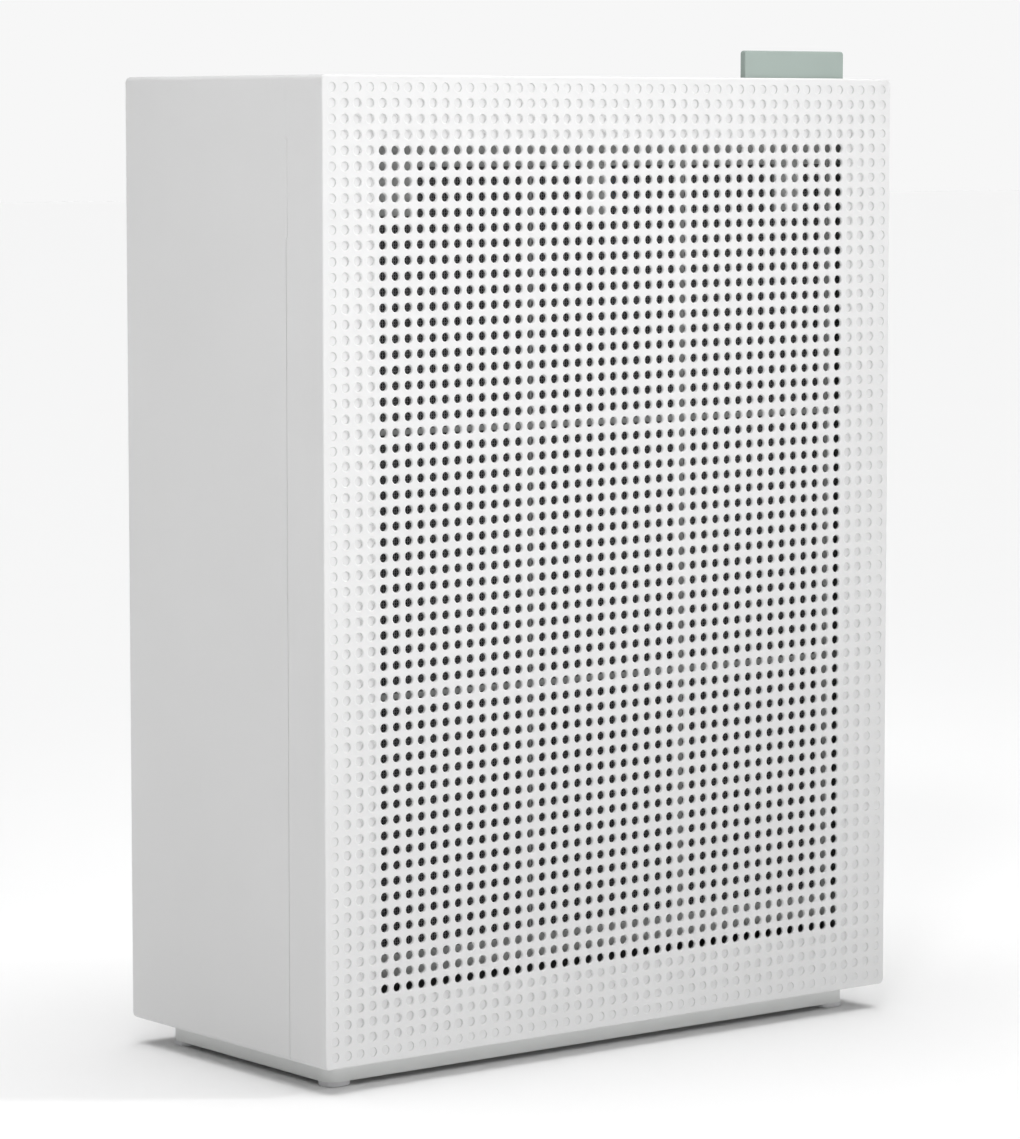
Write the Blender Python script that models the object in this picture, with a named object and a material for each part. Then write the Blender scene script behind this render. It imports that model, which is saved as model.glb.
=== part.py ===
"""Slim upright air purifier, taken apart into the pieces it is made of.

Frame: metres, X to the right, Y to the back, Z up. The origin lies on the floor,
under the middle of the case. The perforated front looks along -Y.
"""
import math

import bmesh
import bpy
from mathutils import Matrix, Vector

MM = 0.001

# ---- driving dimensions ----
GAP = 0.3 * MM                 # air between pieces that touch on the real object
BODY_W = 340 * MM
BODY_D = 158 * MM
BODY_H = 445 * MM
STAND_H = 12 * MM              # floor to the underside of the body
TAB_RISE = 13 * MM             # the tab above the body
SEAM_DEPTH = 27.6 * MM         # front face to the joint between cover and casing
WALL = 2.2 * MM
FRONT_WALL = 1.8 * MM
CORNER_R = 2.5 * MM            # the four long edges from front to back
FRONT_EDGE_R = 0.8 * MM
REAR_EDGE_R = 2.0 * MM

HOLE_PITCH = 7 * MM
HOLE_D = 4.4 * MM
VENT_D = 3.8 * MM                # the smaller holes of the outlet and the sensor's vent
HOLE_COLUMNS = 40
HOLE_ROWS = 55
BLIND_RINGS = 4                # rows of dimples round the field of holes
EDGE_MARGIN = 5.5 * MM         # outermost dimple centres from the body's edge

GROOVE_L = 45.6 * MM           # finger groove on each side, over the seam
GROOVE_W = 4.4 * MM
GROOVE_DEEP = 1.2 * MM
GROOVE_TOP = 27.4 * MM         # its upper end below the top of the body

PREFILTER_W = 302 * MM
PREFILTER_BACK = 9 * MM        # its front plane behind the front face
PREFILTER_T = 3.5 * MM
RIB_W = 2.5 * MM
RIB_PITCH = 91.5 * MM
TAB_X0 = 84 * MM
TAB_X1 = 147 * MM

FILTER_W = 300 * MM
FILTER_Z0 = 46 * MM
FILTER_Z1 = 422 * MM
DEODOR_T = 10 * MM
HEPA_T = 27 * MM
PLEATS = 36

FAN_X = -13.5 * MM             # fan axis, which runs front to back
FAN_Z = 190 * MM
WHEEL_R = 115 * MM
WHEEL_EYE_R = 92 * MM
WHEEL_Y0 = -6 * MM
WHEEL_Y1 = 46 * MM
BLADES = 32
VOLUTE_R = 123 * MM            # volute radius at its tongue
VOLUTE_GROWTH = 45 * MM        # what the radius gains by the time it leaves upwards
TONGUE_ANGLE = 60
SHAFT_R = 4 * MM

PLINTH_INSET_X = 12.5 * MM
PLINTH_INSET_Y = 14.5 * MM
PLINTH_R = 6 * MM
FOOT_W = 14 * MM
FOOT_D = 12 * MM
FOOT_H = 2 * MM

X1 = BODY_W / 2
Y1 = BODY_D / 2
Z0 = STAND_H
Z1 = STAND_H + BODY_H
SEAM_Y = -Y1 + SEAM_DEPTH
BAY_Y = -20.3 * MM             # front of the wall between the filters and the fan
BAY_T = 2 * MM

OUTLET_X = 131 * MM
OUTLET_Y0 = -13 * MM
OUTLET_Y1 = 45 * MM
PANEL_X = 75 * MM
PANEL_Y0 = -45 * MM
PANEL_Y1 = -23 * MM
HANDLE_X = 62 * MM
HANDLE_Z0 = 392 * MM
HANDLE_Z1 = 424 * MM
SOCKET_X0 = -131 * MM
SOCKET_X1 = -107 * MM
SOCKET_Z0 = 30 * MM
SOCKET_Z1 = 44 * MM
SENSOR_Y0 = 54 * MM
SENSOR_Y1 = 72 * MM
SENSOR_Z0 = 345 * MM
SENSOR_Z1 = 385 * MM
BOSS_X = 158 * MM
BOSS_Z = (24 * MM, 445 * MM)
PLINTH_SCREWS = [(sx * 120 * MM, sy * 45 * MM) for sy in (-1, 1) for sx in (-1, 1)]


# ---- outlines and solids ----
def arc(cx, cy, radius, start, end, steps):
    """Points on an arc, angles in degrees, both ends included."""
    points = []
    for k in range(steps + 1):
        a = math.radians(start + (end - start) * k / steps)
        points.append((cx + radius * math.cos(a), cy + radius * math.sin(a)))
    return points


def rounded(a0, a1, b0, b1, radius, steps=3):
    """A rectangle with round corners, counter-clockwise."""
    return (arc(a1 - radius, b1 - radius, radius, 0, 90, steps)
            + arc(a0 + radius, b1 - radius, radius, 90, 180, steps)
            + arc(a0 + radius, b0 + radius, radius, 180, 270, steps)
            + arc(a1 - radius, b0 + radius, radius, 270, 360, steps))


def circle(cx, cy, radius, steps):
    return arc(cx, cy, radius, 0, 360 * (steps - 1) / steps, steps - 1)


def loft(bm, rings):
    """One closed skin through rings of equally many points, capped at both ends."""
    loops = [[bm.verts.new(p) for p in ring] for ring in rings]
    count = len(loops[0])
    for low, high in zip(loops, loops[1:]):
        for i in range(count):
            j = (i + 1) % count
            bm.faces.new((low[i], low[j], high[j], high[i]))
    bm.faces.new(loops[0])
    bm.faces.new(loops[-1])


def along_y(bm, outline, y0, y1):
    """Extrudes an outline of (x, z) points from y0 to y1."""
    loft(bm, [[(x, y, z) for x, z in outline] for y in (y0, y1)])


def along_z(bm, outline, z0, z1):
    """Extrudes an outline of (x, y) points from z0 to z1."""
    loft(bm, [[(x, y, z) for x, y in outline] for z in (z0, z1)])


def along_x(bm, outline, x0, x1):
    """Extrudes an outline of (y, z) points from x0 to x1."""
    loft(bm, [[(x, y, z) for y, z in outline] for x in (x0, x1)])


def box(bm, x0, x1, y0, y1, z0, z1):
    along_y(bm, [(x0, z0), (x1, z0), (x1, z1), (x0, z1)], y0, y1)


def turned(bm, profile, cx, cz, steps):
    """Spins a closed profile of (radius, y) points about a line along Y through cx, cz."""
    loops = []
    for k in range(steps):
        a = 2 * math.pi * k / steps
        loops.append([bm.verts.new((cx + r * math.cos(a), y, cz + r * math.sin(a)))
                      for r, y in profile])
    count = len(profile)
    for k in range(steps):
        here = loops[k]
        there = loops[(k + 1) % steps]
        for i in range(count):
            j = (i + 1) % count
            bm.faces.new((here[i], here[j], there[j], there[i]))


def disc(bm, cx, cz, radius, y0, y1, steps=24):
    along_y(bm, circle(cx, cz, radius, steps), y0, y1)


def rectangle_ring(bm, half, wide, z0, z1, y0, y1):
    """A picture frame: outer half width, bar width, lowest and highest edge, front and back."""
    rings = []
    for inset, y in ((0, y0), (0, y1), (wide, y1), (wide, y0)):
        x = half - inset
        rings.append([(-x, y, z0 + inset), (x, y, z0 + inset), (x, y, z1 - inset), (-x, y, z1 - inset)])
    loops = [[bm.verts.new(p) for p in ring] for ring in rings]
    for k in range(4):
        here = loops[k]
        there = loops[(k + 1) % 4]
        for i in range(4):
            j = (i + 1) % 4
            bm.faces.new((here[i], here[j], there[j], there[i]))


# ---- objects ----
def material(name, colour, roughness, metallic=0.0):
    mat = bpy.data.materials.new(name)
    mat.use_nodes = True
    shader = mat.node_tree.nodes["Principled BSDF"]
    shader.inputs["Base Color"].default_value = (*colour, 1)
    shader.inputs["Roughness"].default_value = roughness
    shader.inputs["Metallic"].default_value = metallic
    mat.diffuse_color = (*colour, 1)
    return mat


def mesh_object(name, bm):
    bmesh.ops.recalc_face_normals(bm, faces=bm.faces[:])
    mesh = bpy.data.meshes.new(name)
    bm.to_mesh(mesh)
    bm.free()
    obj = bpy.data.objects.new(name, mesh)
    bpy.context.scene.collection.objects.link(obj)
    return obj


def piece(name, bm, mat, parent=None):
    """A real piece of the purifier, built in place and then hung on its moving frame."""
    obj = mesh_object(name, bm)
    obj.data.materials.append(mat)
    obj.data.shade_smooth()
    obj.data.set_sharp_from_angle(angle=math.radians(30))
    if parent:
        obj.parent = parent
        obj.matrix_parent_inverse = Matrix.Translation(-parent.location)
    return obj


def helper(name, bm):
    """A tool body for a Boolean, which is no piece of the object."""
    obj = mesh_object(name, bm)
    obj.hide_render = True
    obj.display_type = 'WIRE'
    return obj


def combine(target, tool, operation):
    step = target.modifiers.new(tool.name, 'BOOLEAN')
    step.operation = operation
    step.object = tool


def cut(target, name, bm):
    combine(target, helper(name, bm), 'DIFFERENCE')


def join(target, name, bm):
    combine(target, helper(name, bm), 'UNION')


def moving_frame(name, location):
    """An empty on a joint's axis, which carries the pieces of one moving body."""
    empty = bpy.data.objects.new(name, None)
    empty.location = Vector(location)
    bpy.context.scene.collection.objects.link(empty)
    return empty


# ---- front cover ----
def body_stations(outer_y, inner_y, edge_radius):
    """Rings of the body's outline from its rounded outer face to its open end."""
    side = 1 if inner_y > outer_y else -1
    rings = []
    for k in range(3):
        a = math.radians(45 * k)
        inset = edge_radius * (1 - math.sin(a))
        y = outer_y + side * edge_radius * (1 - math.cos(a))
        outline = rounded(-X1 + inset, X1 - inset, Z0 + inset, Z1 - inset, CORNER_R)
        rings.append([(x, y, z) for x, z in outline])
    outline = rounded(-X1, X1, Z0, Z1, CORNER_R)
    rings.append([(x, inner_y, z) for x, z in outline])
    return rings


def finger_grooves():
    bm = bmesh.new()
    top = Z1 - GROOVE_TOP
    half = GROOVE_W / 2
    outline = (arc(SEAM_Y, top - half, half, 0, 180, 6)
               + arc(SEAM_Y, top - GROOVE_L + half, half, 180, 360, 6))
    for side in (-1, 1):
        along_x(bm, outline, side * (X1 - GROOVE_DEEP), side * (X1 + WALL))
    return bm


def front_cover(mat, parent):
    bm = bmesh.new()
    loft(bm, body_stations(-Y1, SEAM_Y - GAP / 2, FRONT_EDGE_R))
    cover = piece("front_cover", bm, mat, parent)

    bm = bmesh.new()
    box(bm, -X1 + WALL, X1 - WALL, -Y1 + FRONT_WALL, SEAM_Y + WALL, Z0 + WALL, Z1 - WALL)
    cut(cover, "cover_hollow", bm)

    # The rails are an L on each side of the pre-filter's two long edges, with a stop below.
    front_of_rail = -Y1 + PREFILTER_BACK
    back_of_rail = front_of_rail + PREFILTER_T
    rail_t = 1.8 * MM
    slack = 0.4 * MM
    rail_x = PREFILTER_W / 2 - 2.5 * MM
    stop_z = 48 * MM
    bm = bmesh.new()
    for side in (-1, 1):
        low, high = sorted((side * rail_x, side * (X1 - WALL / 2)))
        box(bm, low, high, front_of_rail - slack - rail_t, front_of_rail - slack,
            stop_z - 5 * MM, Z1 - 27 * MM)
        box(bm, low, high, back_of_rail + slack, back_of_rail + slack + rail_t,
            stop_z - 5 * MM, Z1 - 27 * MM)
    join(cover, "cover_rails", bm)
    bm = bmesh.new()
    for side in (-1, 1):
        low, high = sorted((side * (rail_x + MM), side * (X1 - WALL / 2)))
        box(bm, low, high, front_of_rail - slack - rail_t / 2, back_of_rail + slack + rail_t / 2,
            stop_z - 4 * MM, stop_z - GAP)
    join(cover, "cover_rail_stops", bm)

    # The holes of one column run together here into two long slots.
    first = -X1 + EDGE_MARGIN + BLIND_RINGS * HOLE_PITCH
    top = Z1 - EDGE_MARGIN - BLIND_RINGS * HOLE_PITCH
    half = HOLE_D / 2
    split = HOLE_ROWS // 2
    bm = bmesh.new()
    for column in range(HOLE_COLUMNS):
        x = first + column * HOLE_PITCH
        for upper, lower in ((0, split), (split + 1, HOLE_ROWS - 1)):
            box(bm, x - half, x + half, -Y1 - MM, -Y1 + FRONT_WALL + MM,
                top - lower * HOLE_PITCH - half, top - upper * HOLE_PITCH + half)
    cut(cover, "cover_slots", bm)

    bm = bmesh.new()
    box(bm, -PREFILTER_W / 2 - slack, PREFILTER_W / 2 + slack,
        front_of_rail - slack, back_of_rail + slack, Z1 - 2 * WALL, Z1 + WALL)
    cut(cover, "prefilter_slot", bm)
    cut(cover, "cover_grooves", finger_grooves())
    return cover


# ---- filters ----
def prefilter(mats, parent):
    front = -Y1 + PREFILTER_BACK
    back = front + PREFILTER_T
    rib_back = front + 2.2 * MM
    half = PREFILTER_W / 2
    foot = 48 * MM
    lintel = 416 * MM
    top = Z1 - 0.6 * MM
    bar = 3 * MM
    sill = 59 * MM
    outline = ([(-half, foot), (half, foot), (half, top), (TAB_X1, top)]
               + [(TAB_X1, Z1 + TAB_RISE - 2 * MM), (TAB_X1 - 2 * MM, Z1 + TAB_RISE)]
               + [(TAB_X0 + 2 * MM, Z1 + TAB_RISE), (TAB_X0, Z1 + TAB_RISE - 2 * MM)]
               + [(TAB_X0, top), (-half, top)])
    bm = bmesh.new()
    along_y(bm, outline, front, back)
    frame = piece("prefilter_frame", bm, mats["sage"], parent)

    bm = bmesh.new()
    box(bm, -half + bar, half - bar, rib_back, back + MM, sill, lintel)
    cut(frame, "prefilter_rebate", bm)

    rib_x = [-1.5 * RIB_PITCH, -0.5 * RIB_PITCH, 0.5 * RIB_PITCH, 1.5 * RIB_PITCH]
    rib_z = [177 * MM, 297 * MM]
    lefts = [-half + bar] + [x + RIB_W / 2 for x in rib_x]
    rights = [x - RIB_W / 2 for x in rib_x] + [half - bar]
    lows = [sill] + [z + RIB_W / 2 for z in rib_z]
    highs = [z - RIB_W / 2 for z in rib_z] + [lintel]
    bm = bmesh.new()
    for left, right in zip(lefts, rights):
        for low, high in zip(lows, highs):
            box(bm, left, right, front - MM, rib_back + MM / 2, low, high)
    cut(frame, "prefilter_windows", bm)

    bm = bmesh.new()
    box(bm, -half + bar + GAP, half - bar - GAP, rib_back + GAP, rib_back + GAP + 0.7 * MM,
        sill + GAP, lintel - GAP)
    piece("prefilter_mesh", bm, mats["black_mesh"], parent)


def deodorising_filter(mats, parent):
    back = SEAM_Y - 0.6 * MM
    front = back - DEODOR_T
    bar = 6 * MM
    half = FILTER_W / 2
    bm = bmesh.new()
    rectangle_ring(bm, half, bar, FILTER_Z0, FILTER_Z1, front, back)
    piece("deodorising_frame", bm, mats["dark_plastic"], parent)
    bm = bmesh.new()
    edge = bar + GAP
    box(bm, -half + edge, half - edge, front + 1.5 * MM, back - 1.5 * MM, FILTER_Z0 + edge, FILTER_Z1 - edge)
    piece("carbon_honeycomb", bm, mats["carbon"], parent)
    bm = bmesh.new()
    along_y(bm, rounded(-11 * MM, 11 * MM, FILTER_Z1 - 26 * MM, FILTER_Z1 - 2 * MM, 3 * MM),
            front - GAP - 0.7 * MM, front - GAP)
    piece("deodorising_pull_tab", bm, mats["ribbon"], parent)


def hepa_filter(mats, parent):
    back = BAY_Y - 1.8 * MM
    front = back - HEPA_T
    bar = 7 * MM
    half = FILTER_W / 2
    bm = bmesh.new()
    rectangle_ring(bm, half, bar, FILTER_Z0, FILTER_Z1, front, back)
    piece("hepa_frame", bm, mats["white_plastic"], parent)

    # The pleats are a zigzag sheet, closed into a thin solid.
    edge = bar + GAP
    x0 = -half + edge
    pitch = (FILTER_W - 2 * edge) / PLEATS
    sheet_t = 3.5 * MM
    near = front + 1.5 * MM
    far = back - 1.5 * MM - sheet_t
    points = []
    for k in range(2 * PLEATS + 1):
        points.append((x0 + pitch * k / 2, near if k % 2 else far))
    outline = points + [(x, y + sheet_t) for x, y in reversed(points)]
    bm = bmesh.new()
    along_z(bm, outline, FILTER_Z0 + edge, FILTER_Z1 - edge)
    piece("hepa_pleats", bm, mats["paper"], parent)

    bm = bmesh.new()
    rectangle_ring(bm, half - MM, bar - 2 * MM, FILTER_Z0 + MM, FILTER_Z1 - MM, back + GAP, BAY_Y - GAP)
    piece("hepa_gasket", bm, mats["foam"], parent)
    bm = bmesh.new()
    along_y(bm, rounded(-11 * MM, 11 * MM, FILTER_Z1 - 30 * MM, FILTER_Z1 - 2 * MM, 3 * MM),
            front - GAP - 0.7 * MM, front - GAP)
    piece("hepa_pull_tab", bm, mats["ribbon"], parent)


# ---- rear casing and what is let into it ----
def rear_casing(mat):
    bm = bmesh.new()
    loft(bm, body_stations(Y1, SEAM_Y + GAP / 2, REAR_EDGE_R))
    casing = piece("rear_casing", bm, mat)

    bm = bmesh.new()
    box(bm, -X1 + WALL, X1 - WALL, SEAM_Y - WALL, Y1 - WALL, Z0 + WALL, Z1 - WALL)
    cut(casing, "casing_hollow", bm)

    bm = bmesh.new()
    for x in (-BOSS_X, BOSS_X):
        for z in BOSS_Z:
            disc(bm, x, z, 5.5 * MM, BAY_Y + BAY_T + 2 * GAP, Y1 - WALL / 2, 12)
    join(casing, "casing_bosses", bm)

    bm = bmesh.new()
    for x in (-BOSS_X, BOSS_X):
        for z in BOSS_Z:
            disc(bm, x, z, 2.1 * MM, BAY_Y, 2 * MM, 12)
    along_z(bm, rounded(-OUTLET_X, OUTLET_X, OUTLET_Y0, OUTLET_Y1, 4 * MM), Z1 - 2 * WALL, Z1 + WALL)
    along_z(bm, rounded(-PANEL_X, PANEL_X, PANEL_Y0, PANEL_Y1, 4 * MM), Z1 - 2 * WALL, Z1 + WALL)
    along_y(bm, rounded(-HANDLE_X, HANDLE_X, HANDLE_Z0, HANDLE_Z1, 6 * MM), Y1 - 2 * WALL, Y1 + WALL)
    along_y(bm, rounded(SOCKET_X0, SOCKET_X1, SOCKET_Z0, SOCKET_Z1, 3 * MM), Y1 - 2 * WALL, Y1 + WALL)
    along_x(bm, rounded(SENSOR_Y0, SENSOR_Y1, SENSOR_Z0, SENSOR_Z1, 3 * MM), X1 - 2 * WALL, X1 + WALL)
    for x, y in PLINTH_SCREWS:
        along_z(bm, circle(x, y, 2 * MM, 12), Z0 - WALL, Z0 + 2 * WALL)
    cut(casing, "casing_openings", bm)
    cut(casing, "casing_grooves", finger_grooves())


def outlet_grille(mat):
    bm = bmesh.new()
    top = Z1 - 0.2 * MM
    under = Z1 - WALL - GAP
    along_z(bm, rounded(-OUTLET_X + GAP, OUTLET_X - GAP, OUTLET_Y0 + GAP, OUTLET_Y1 - GAP, 3.7 * MM),
            under, top)
    grille = piece("outlet_grille", bm, mat)
    bm = bmesh.new()
    columns = 36
    middle = (OUTLET_Y0 + OUTLET_Y1) / 2
    reach = 3.5 * HOLE_PITCH + VENT_D / 2
    for k in range(columns):
        x = (k - (columns - 1) / 2) * HOLE_PITCH
        box(bm, x - VENT_D / 2, x + VENT_D / 2, middle - reach, middle + reach, under - MM, top + MM)
    cut(grille, "grille_slots", bm)


def control_panel(mats):
    bm = bmesh.new()
    along_z(bm, rounded(-PANEL_X + GAP, PANEL_X - GAP, PANEL_Y0 + GAP, PANEL_Y1 - GAP, 3.7 * MM),
            Z1 - 2 * MM, Z1 - 0.1 * MM)
    piece("control_panel", bm, mats["panel"])
    bm = bmesh.new()
    board_z = 446 * MM
    box(bm, -80 * MM, 80 * MM, -47 * MM, -22.5 * MM, board_z, board_z + 1.6 * MM)
    board = piece("control_board", bm, mats["circuit_board"])
    bm = bmesh.new()
    for k in range(5):
        x = (k - 2) * 28 * MM
        box(bm, x - 5 * MM, x + 5 * MM, -38 * MM, -30 * MM, board_z + MM, board_z + 5 * MM)
    join(board, "touch_springs", bm)


def handle_cup(mat):
    wall = 1.6 * MM
    depth = 24 * MM
    bm = bmesh.new()
    along_y(bm, rounded(-HANDLE_X + GAP, HANDLE_X - GAP, HANDLE_Z0 + GAP, HANDLE_Z1 - GAP, 5.7 * MM),
            Y1 - depth, Y1 - 0.2 * MM)
    cup = piece("handle_cup", bm, mat)
    bm = bmesh.new()
    edge = GAP + wall
    along_y(bm, rounded(-HANDLE_X + edge, HANDLE_X - edge, HANDLE_Z0 + edge, HANDLE_Z1 - edge, 4.1 * MM),
            Y1 - depth + wall, Y1 + MM)
    cut(cup, "handle_hollow", bm)


def power_inlet(mats):
    """The appliance socket, with its two pins standing in the middle of the hollow."""
    back = Y1 - 0.2 * MM
    middle_x = (SOCKET_X0 + SOCKET_X1) / 2
    middle_z = (SOCKET_Z0 + SOCKET_Z1) / 2
    bm = bmesh.new()
    along_y(bm, rounded(SOCKET_X0 + GAP, SOCKET_X1 - GAP, SOCKET_Z0 + GAP, SOCKET_Z1 - GAP, 2.7 * MM),
            back - 20 * MM, back)
    socket = piece("power_inlet", bm, mats["dark_plastic"])
    bm = bmesh.new()
    along_y(bm, rounded(middle_x - 8.6 * MM, middle_x + 8.6 * MM, middle_z - 4.6 * MM, middle_z + 4.6 * MM,
                        4.5 * MM, 5), back - 14 * MM, back + MM)
    cut(socket, "socket_hollow", bm)
    for name, side in (("inlet_pin_left", -1), ("inlet_pin_right", 1)):
        bm = bmesh.new()
        disc(bm, middle_x + side * 4.3 * MM, middle_z, 1.2 * MM, back - 14 * MM + GAP, back - 4 * MM, 10)
        piece(name, bm, mats["plated_steel"])


def dust_sensor(mats):
    bm = bmesh.new()
    outer = X1 - 0.2 * MM
    along_x(bm, rounded(SENSOR_Y0 + GAP, SENSOR_Y1 - GAP, SENSOR_Z0 + GAP, SENSOR_Z1 - GAP, 2.7 * MM),
            outer - WALL, outer)
    cover = piece("sensor_cover", bm, mats["white_plastic"])
    bm = bmesh.new()
    for k in range(5):
        z = (SENSOR_Z0 + SENSOR_Z1) / 2 + (k - 2) * HOLE_PITCH
        box(bm, outer - 2 * WALL, outer + WALL, SENSOR_Y0 + 3.5 * MM, SENSOR_Y1 - 3.5 * MM,
            z - VENT_D / 2, z + VENT_D / 2)
    cut(cover, "sensor_slots", bm)
    bm = bmesh.new()
    box(bm, 144 * MM, outer - WALL - 1.5 * MM, SENSOR_Y0 + MM, SENSOR_Y1 - MM, SENSOR_Z0 - 2 * MM,
        SENSOR_Z1 + 2 * MM)
    piece("dust_sensor", bm, mats["dark_plastic"])


# ---- filter bay ----
def filter_bay(mats):
    """The tray that holds the filters, with the round way through to the fan in its back."""
    flange_x = X1 - WALL - 0.5 * MM
    bm = bmesh.new()
    box(bm, -flange_x, flange_x, BAY_Y, BAY_Y + BAY_T, Z0 + WALL + 0.5 * MM, Z1 - WALL - 0.5 * MM)
    bay = piece("filter_bay", bm, mats["light_grey"])
    slack = 0.8 * MM
    wall = 2 * MM
    bm = bmesh.new()
    rectangle_ring(bm, FILTER_W / 2 + slack + wall, wall, FILTER_Z0 - slack - wall,
                   FILTER_Z1 + slack + wall, SEAM_Y - 9 * MM, BAY_Y + BAY_T / 2)
    join(bay, "bay_walls", bm)
    bm = bmesh.new()
    disc(bm, FAN_X, FAN_Z, WHEEL_EYE_R + 2 * MM, BAY_Y - MM, BAY_Y + BAY_T + MM, 48)
    for x in (-BOSS_X, BOSS_X):
        for z in BOSS_Z:
            disc(bm, x, z, 2.1 * MM, BAY_Y - MM, BAY_Y + BAY_T + MM, 12)
    cut(bay, "bay_openings", bm)

    head_y = BAY_Y - GAP
    number = 0
    for x in (-BOSS_X, BOSS_X):
        for z in BOSS_Z:
            number += 1
            bm = bmesh.new()
            turned_screw(bm, x, z, head_y, 1, 16 * MM)
            piece("bay_screw_%d" % number, bm, mats["plated_steel"])

    switch_z = 300 * MM
    bm = bmesh.new()
    box(bm, -X1 + WALL + 3 * MM, -X1 + WALL + 9 * MM, SEAM_Y + 4 * MM, SEAM_Y + 22 * MM,
        switch_z, switch_z + 12 * MM)
    switch = piece("cover_switch", bm, mats["dark_plastic"])
    bm = bmesh.new()
    box(bm, -X1 + WALL + 5 * MM, -X1 + WALL + 7 * MM, SEAM_Y + 1.5 * MM, SEAM_Y + 5 * MM,
        switch_z + 4 * MM, switch_z + 8 * MM)
    join(switch, "switch_plunger", bm)


def turned_screw(bm, x, z, head_y, way, shank_l):
    """A pan head screw along Y. way is 1 where the shank runs backwards from its head."""
    head_r = 3.6 * MM
    head_t = 2.2 * MM
    shank_r = 1.7 * MM
    rings = []
    for radius, y in ((head_r * 0.7, -head_t), (head_r, -head_t * 0.5), (head_r, 0), (shank_r, 0),
                      (shank_r, shank_l - 2 * MM), (shank_r * 0.4, shank_l)):
        rings.append([(px, head_y + way * y, pz) for px, pz in circle(x, z, radius, 12)])
    loft(bm, rings)


# ---- fan ----
def inlet_pieces(mats):
    """The bell mouth that leads air into the wheel, and the guard in front of it."""
    eye = WHEEL_EYE_R
    bm = bmesh.new()
    y = BAY_Y
    profile = [(eye + 1.6 * MM, y + GAP), (eye - 1 * MM, y + 3 * MM), (eye - 5 * MM, y + 8 * MM),
               (eye - 6 * MM, y + 12 * MM), (eye - 4.2 * MM, y + 12 * MM), (eye - 3.2 * MM, y + 8.4 * MM),
               (eye + 0.4 * MM, y + 4.4 * MM), (eye + 1.6 * MM, y + 3 * MM)]
    turned(bm, profile, FAN_X, FAN_Z, 36)
    piece("inlet_bell", bm, mats["light_grey"])

    guard_y = BAY_Y + GAP
    thick = 1.8 * MM
    outer = eye - 1.5 * MM
    bm = bmesh.new()
    turned(bm, [(outer, guard_y - thick), (outer, guard_y), (outer - 2.5 * MM, guard_y),
                (outer - 2.5 * MM, guard_y - thick)], FAN_X, FAN_Z, 36)
    guard = piece("inlet_guard", bm, mats["light_grey"])
    bars = 11
    spacing = 2 * outer / (bars + 1)
    bm = bmesh.new()
    for k in range(bars):
        x = -outer + spacing * (k + 1)
        reach = math.sqrt(outer * outer - x * x) - 1.2 * MM
        box(bm, FAN_X + x - MM, FAN_X + x + MM, guard_y - thick + 0.1 * MM, guard_y - 0.1 * MM,
            FAN_Z - reach, FAN_Z + reach)
    join(guard, "guard_bars", bm)
    bm = bmesh.new()
    for k in (-1, 1):
        z = k * spacing * 2
        reach = math.sqrt(outer * outer - z * z) - 1.2 * MM
        box(bm, FAN_X - reach, FAN_X + reach, guard_y - thick + 0.2 * MM, guard_y - 0.2 * MM,
            FAN_Z + z - MM, FAN_Z + z + MM)
    join(guard, "guard_cross_bars", bm)


def volute(wall):
    """The fan housing's outline grown outwards by wall: a spiral that opens into the duct."""
    points = []
    steps = 40
    for k in range(steps + 1):
        turn = (360 - TONGUE_ANGLE) * k / steps
        a = math.radians(TONGUE_ANGLE + turn)
        r = VOLUTE_R + VOLUTE_GROWTH * turn / (360 - TONGUE_ANGLE) + wall
        points.append((FAN_X + r * math.cos(a), FAN_Z + r * math.sin(a)))
    top = Z1 - WALL - MM
    mouth = OUTLET_X + 5 * MM + wall
    rise = points[-1][0]
    for k in range(1, 7):
        t = k / 6
        z = FAN_Z + (top - FAN_Z) * t
        ease = t * t * (3 - 2 * t)
        points.append((rise + (mouth - rise) * ease, z))
    # Back down the left side: a curve from the mouth to the tongue.
    tongue = points[0]
    knee = (tongue[0] - 20 * MM - wall, tongue[1] + 100 * MM + wall)
    for k in range(8):
        t = k / 8
        x = (1 - t) ** 2 * -mouth + 2 * t * (1 - t) * knee[0] + t * t * tongue[0]
        z = (1 - t) ** 2 * top + 2 * t * (1 - t) * knee[1] + t * t * tongue[1]
        points.append((x, z))
    return points


def scroll_housing(mats):
    front = BAY_Y + BAY_T + GAP
    plate_y = 50 * MM
    wall = 2 * MM
    bm = bmesh.new()
    along_y(bm, volute(wall), front, plate_y + wall)
    scroll = piece("scroll_housing", bm, mats["light_grey"])
    bm = bmesh.new()
    along_y(bm, volute(0), front - MM, plate_y)
    mouth = OUTLET_X + 5 * MM
    top = Z1 - WALL - MM
    cut(scroll, "volute_hollow", bm)
    bm = bmesh.new()
    box(bm, -mouth, mouth, front - MM, plate_y, top - 2 * MM, top + 3 * MM)
    cut(scroll, "duct_mouth", bm)
    bm = bmesh.new()
    disc(bm, FAN_X, FAN_Z, 30 * MM, plate_y - MM, plate_y + wall + MM, 32)
    for x, z in motor_lugs():
        disc(bm, x, z, 2.1 * MM, plate_y - MM, plate_y + wall + MM, 12)
    cut(scroll, "scroll_holes", bm)


def motor_lugs():
    return [(FAN_X + 56 * MM * math.cos(math.radians(a)), FAN_Z + 56 * MM * math.sin(math.radians(a)))
            for a in (90, 210, 330)]


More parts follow.
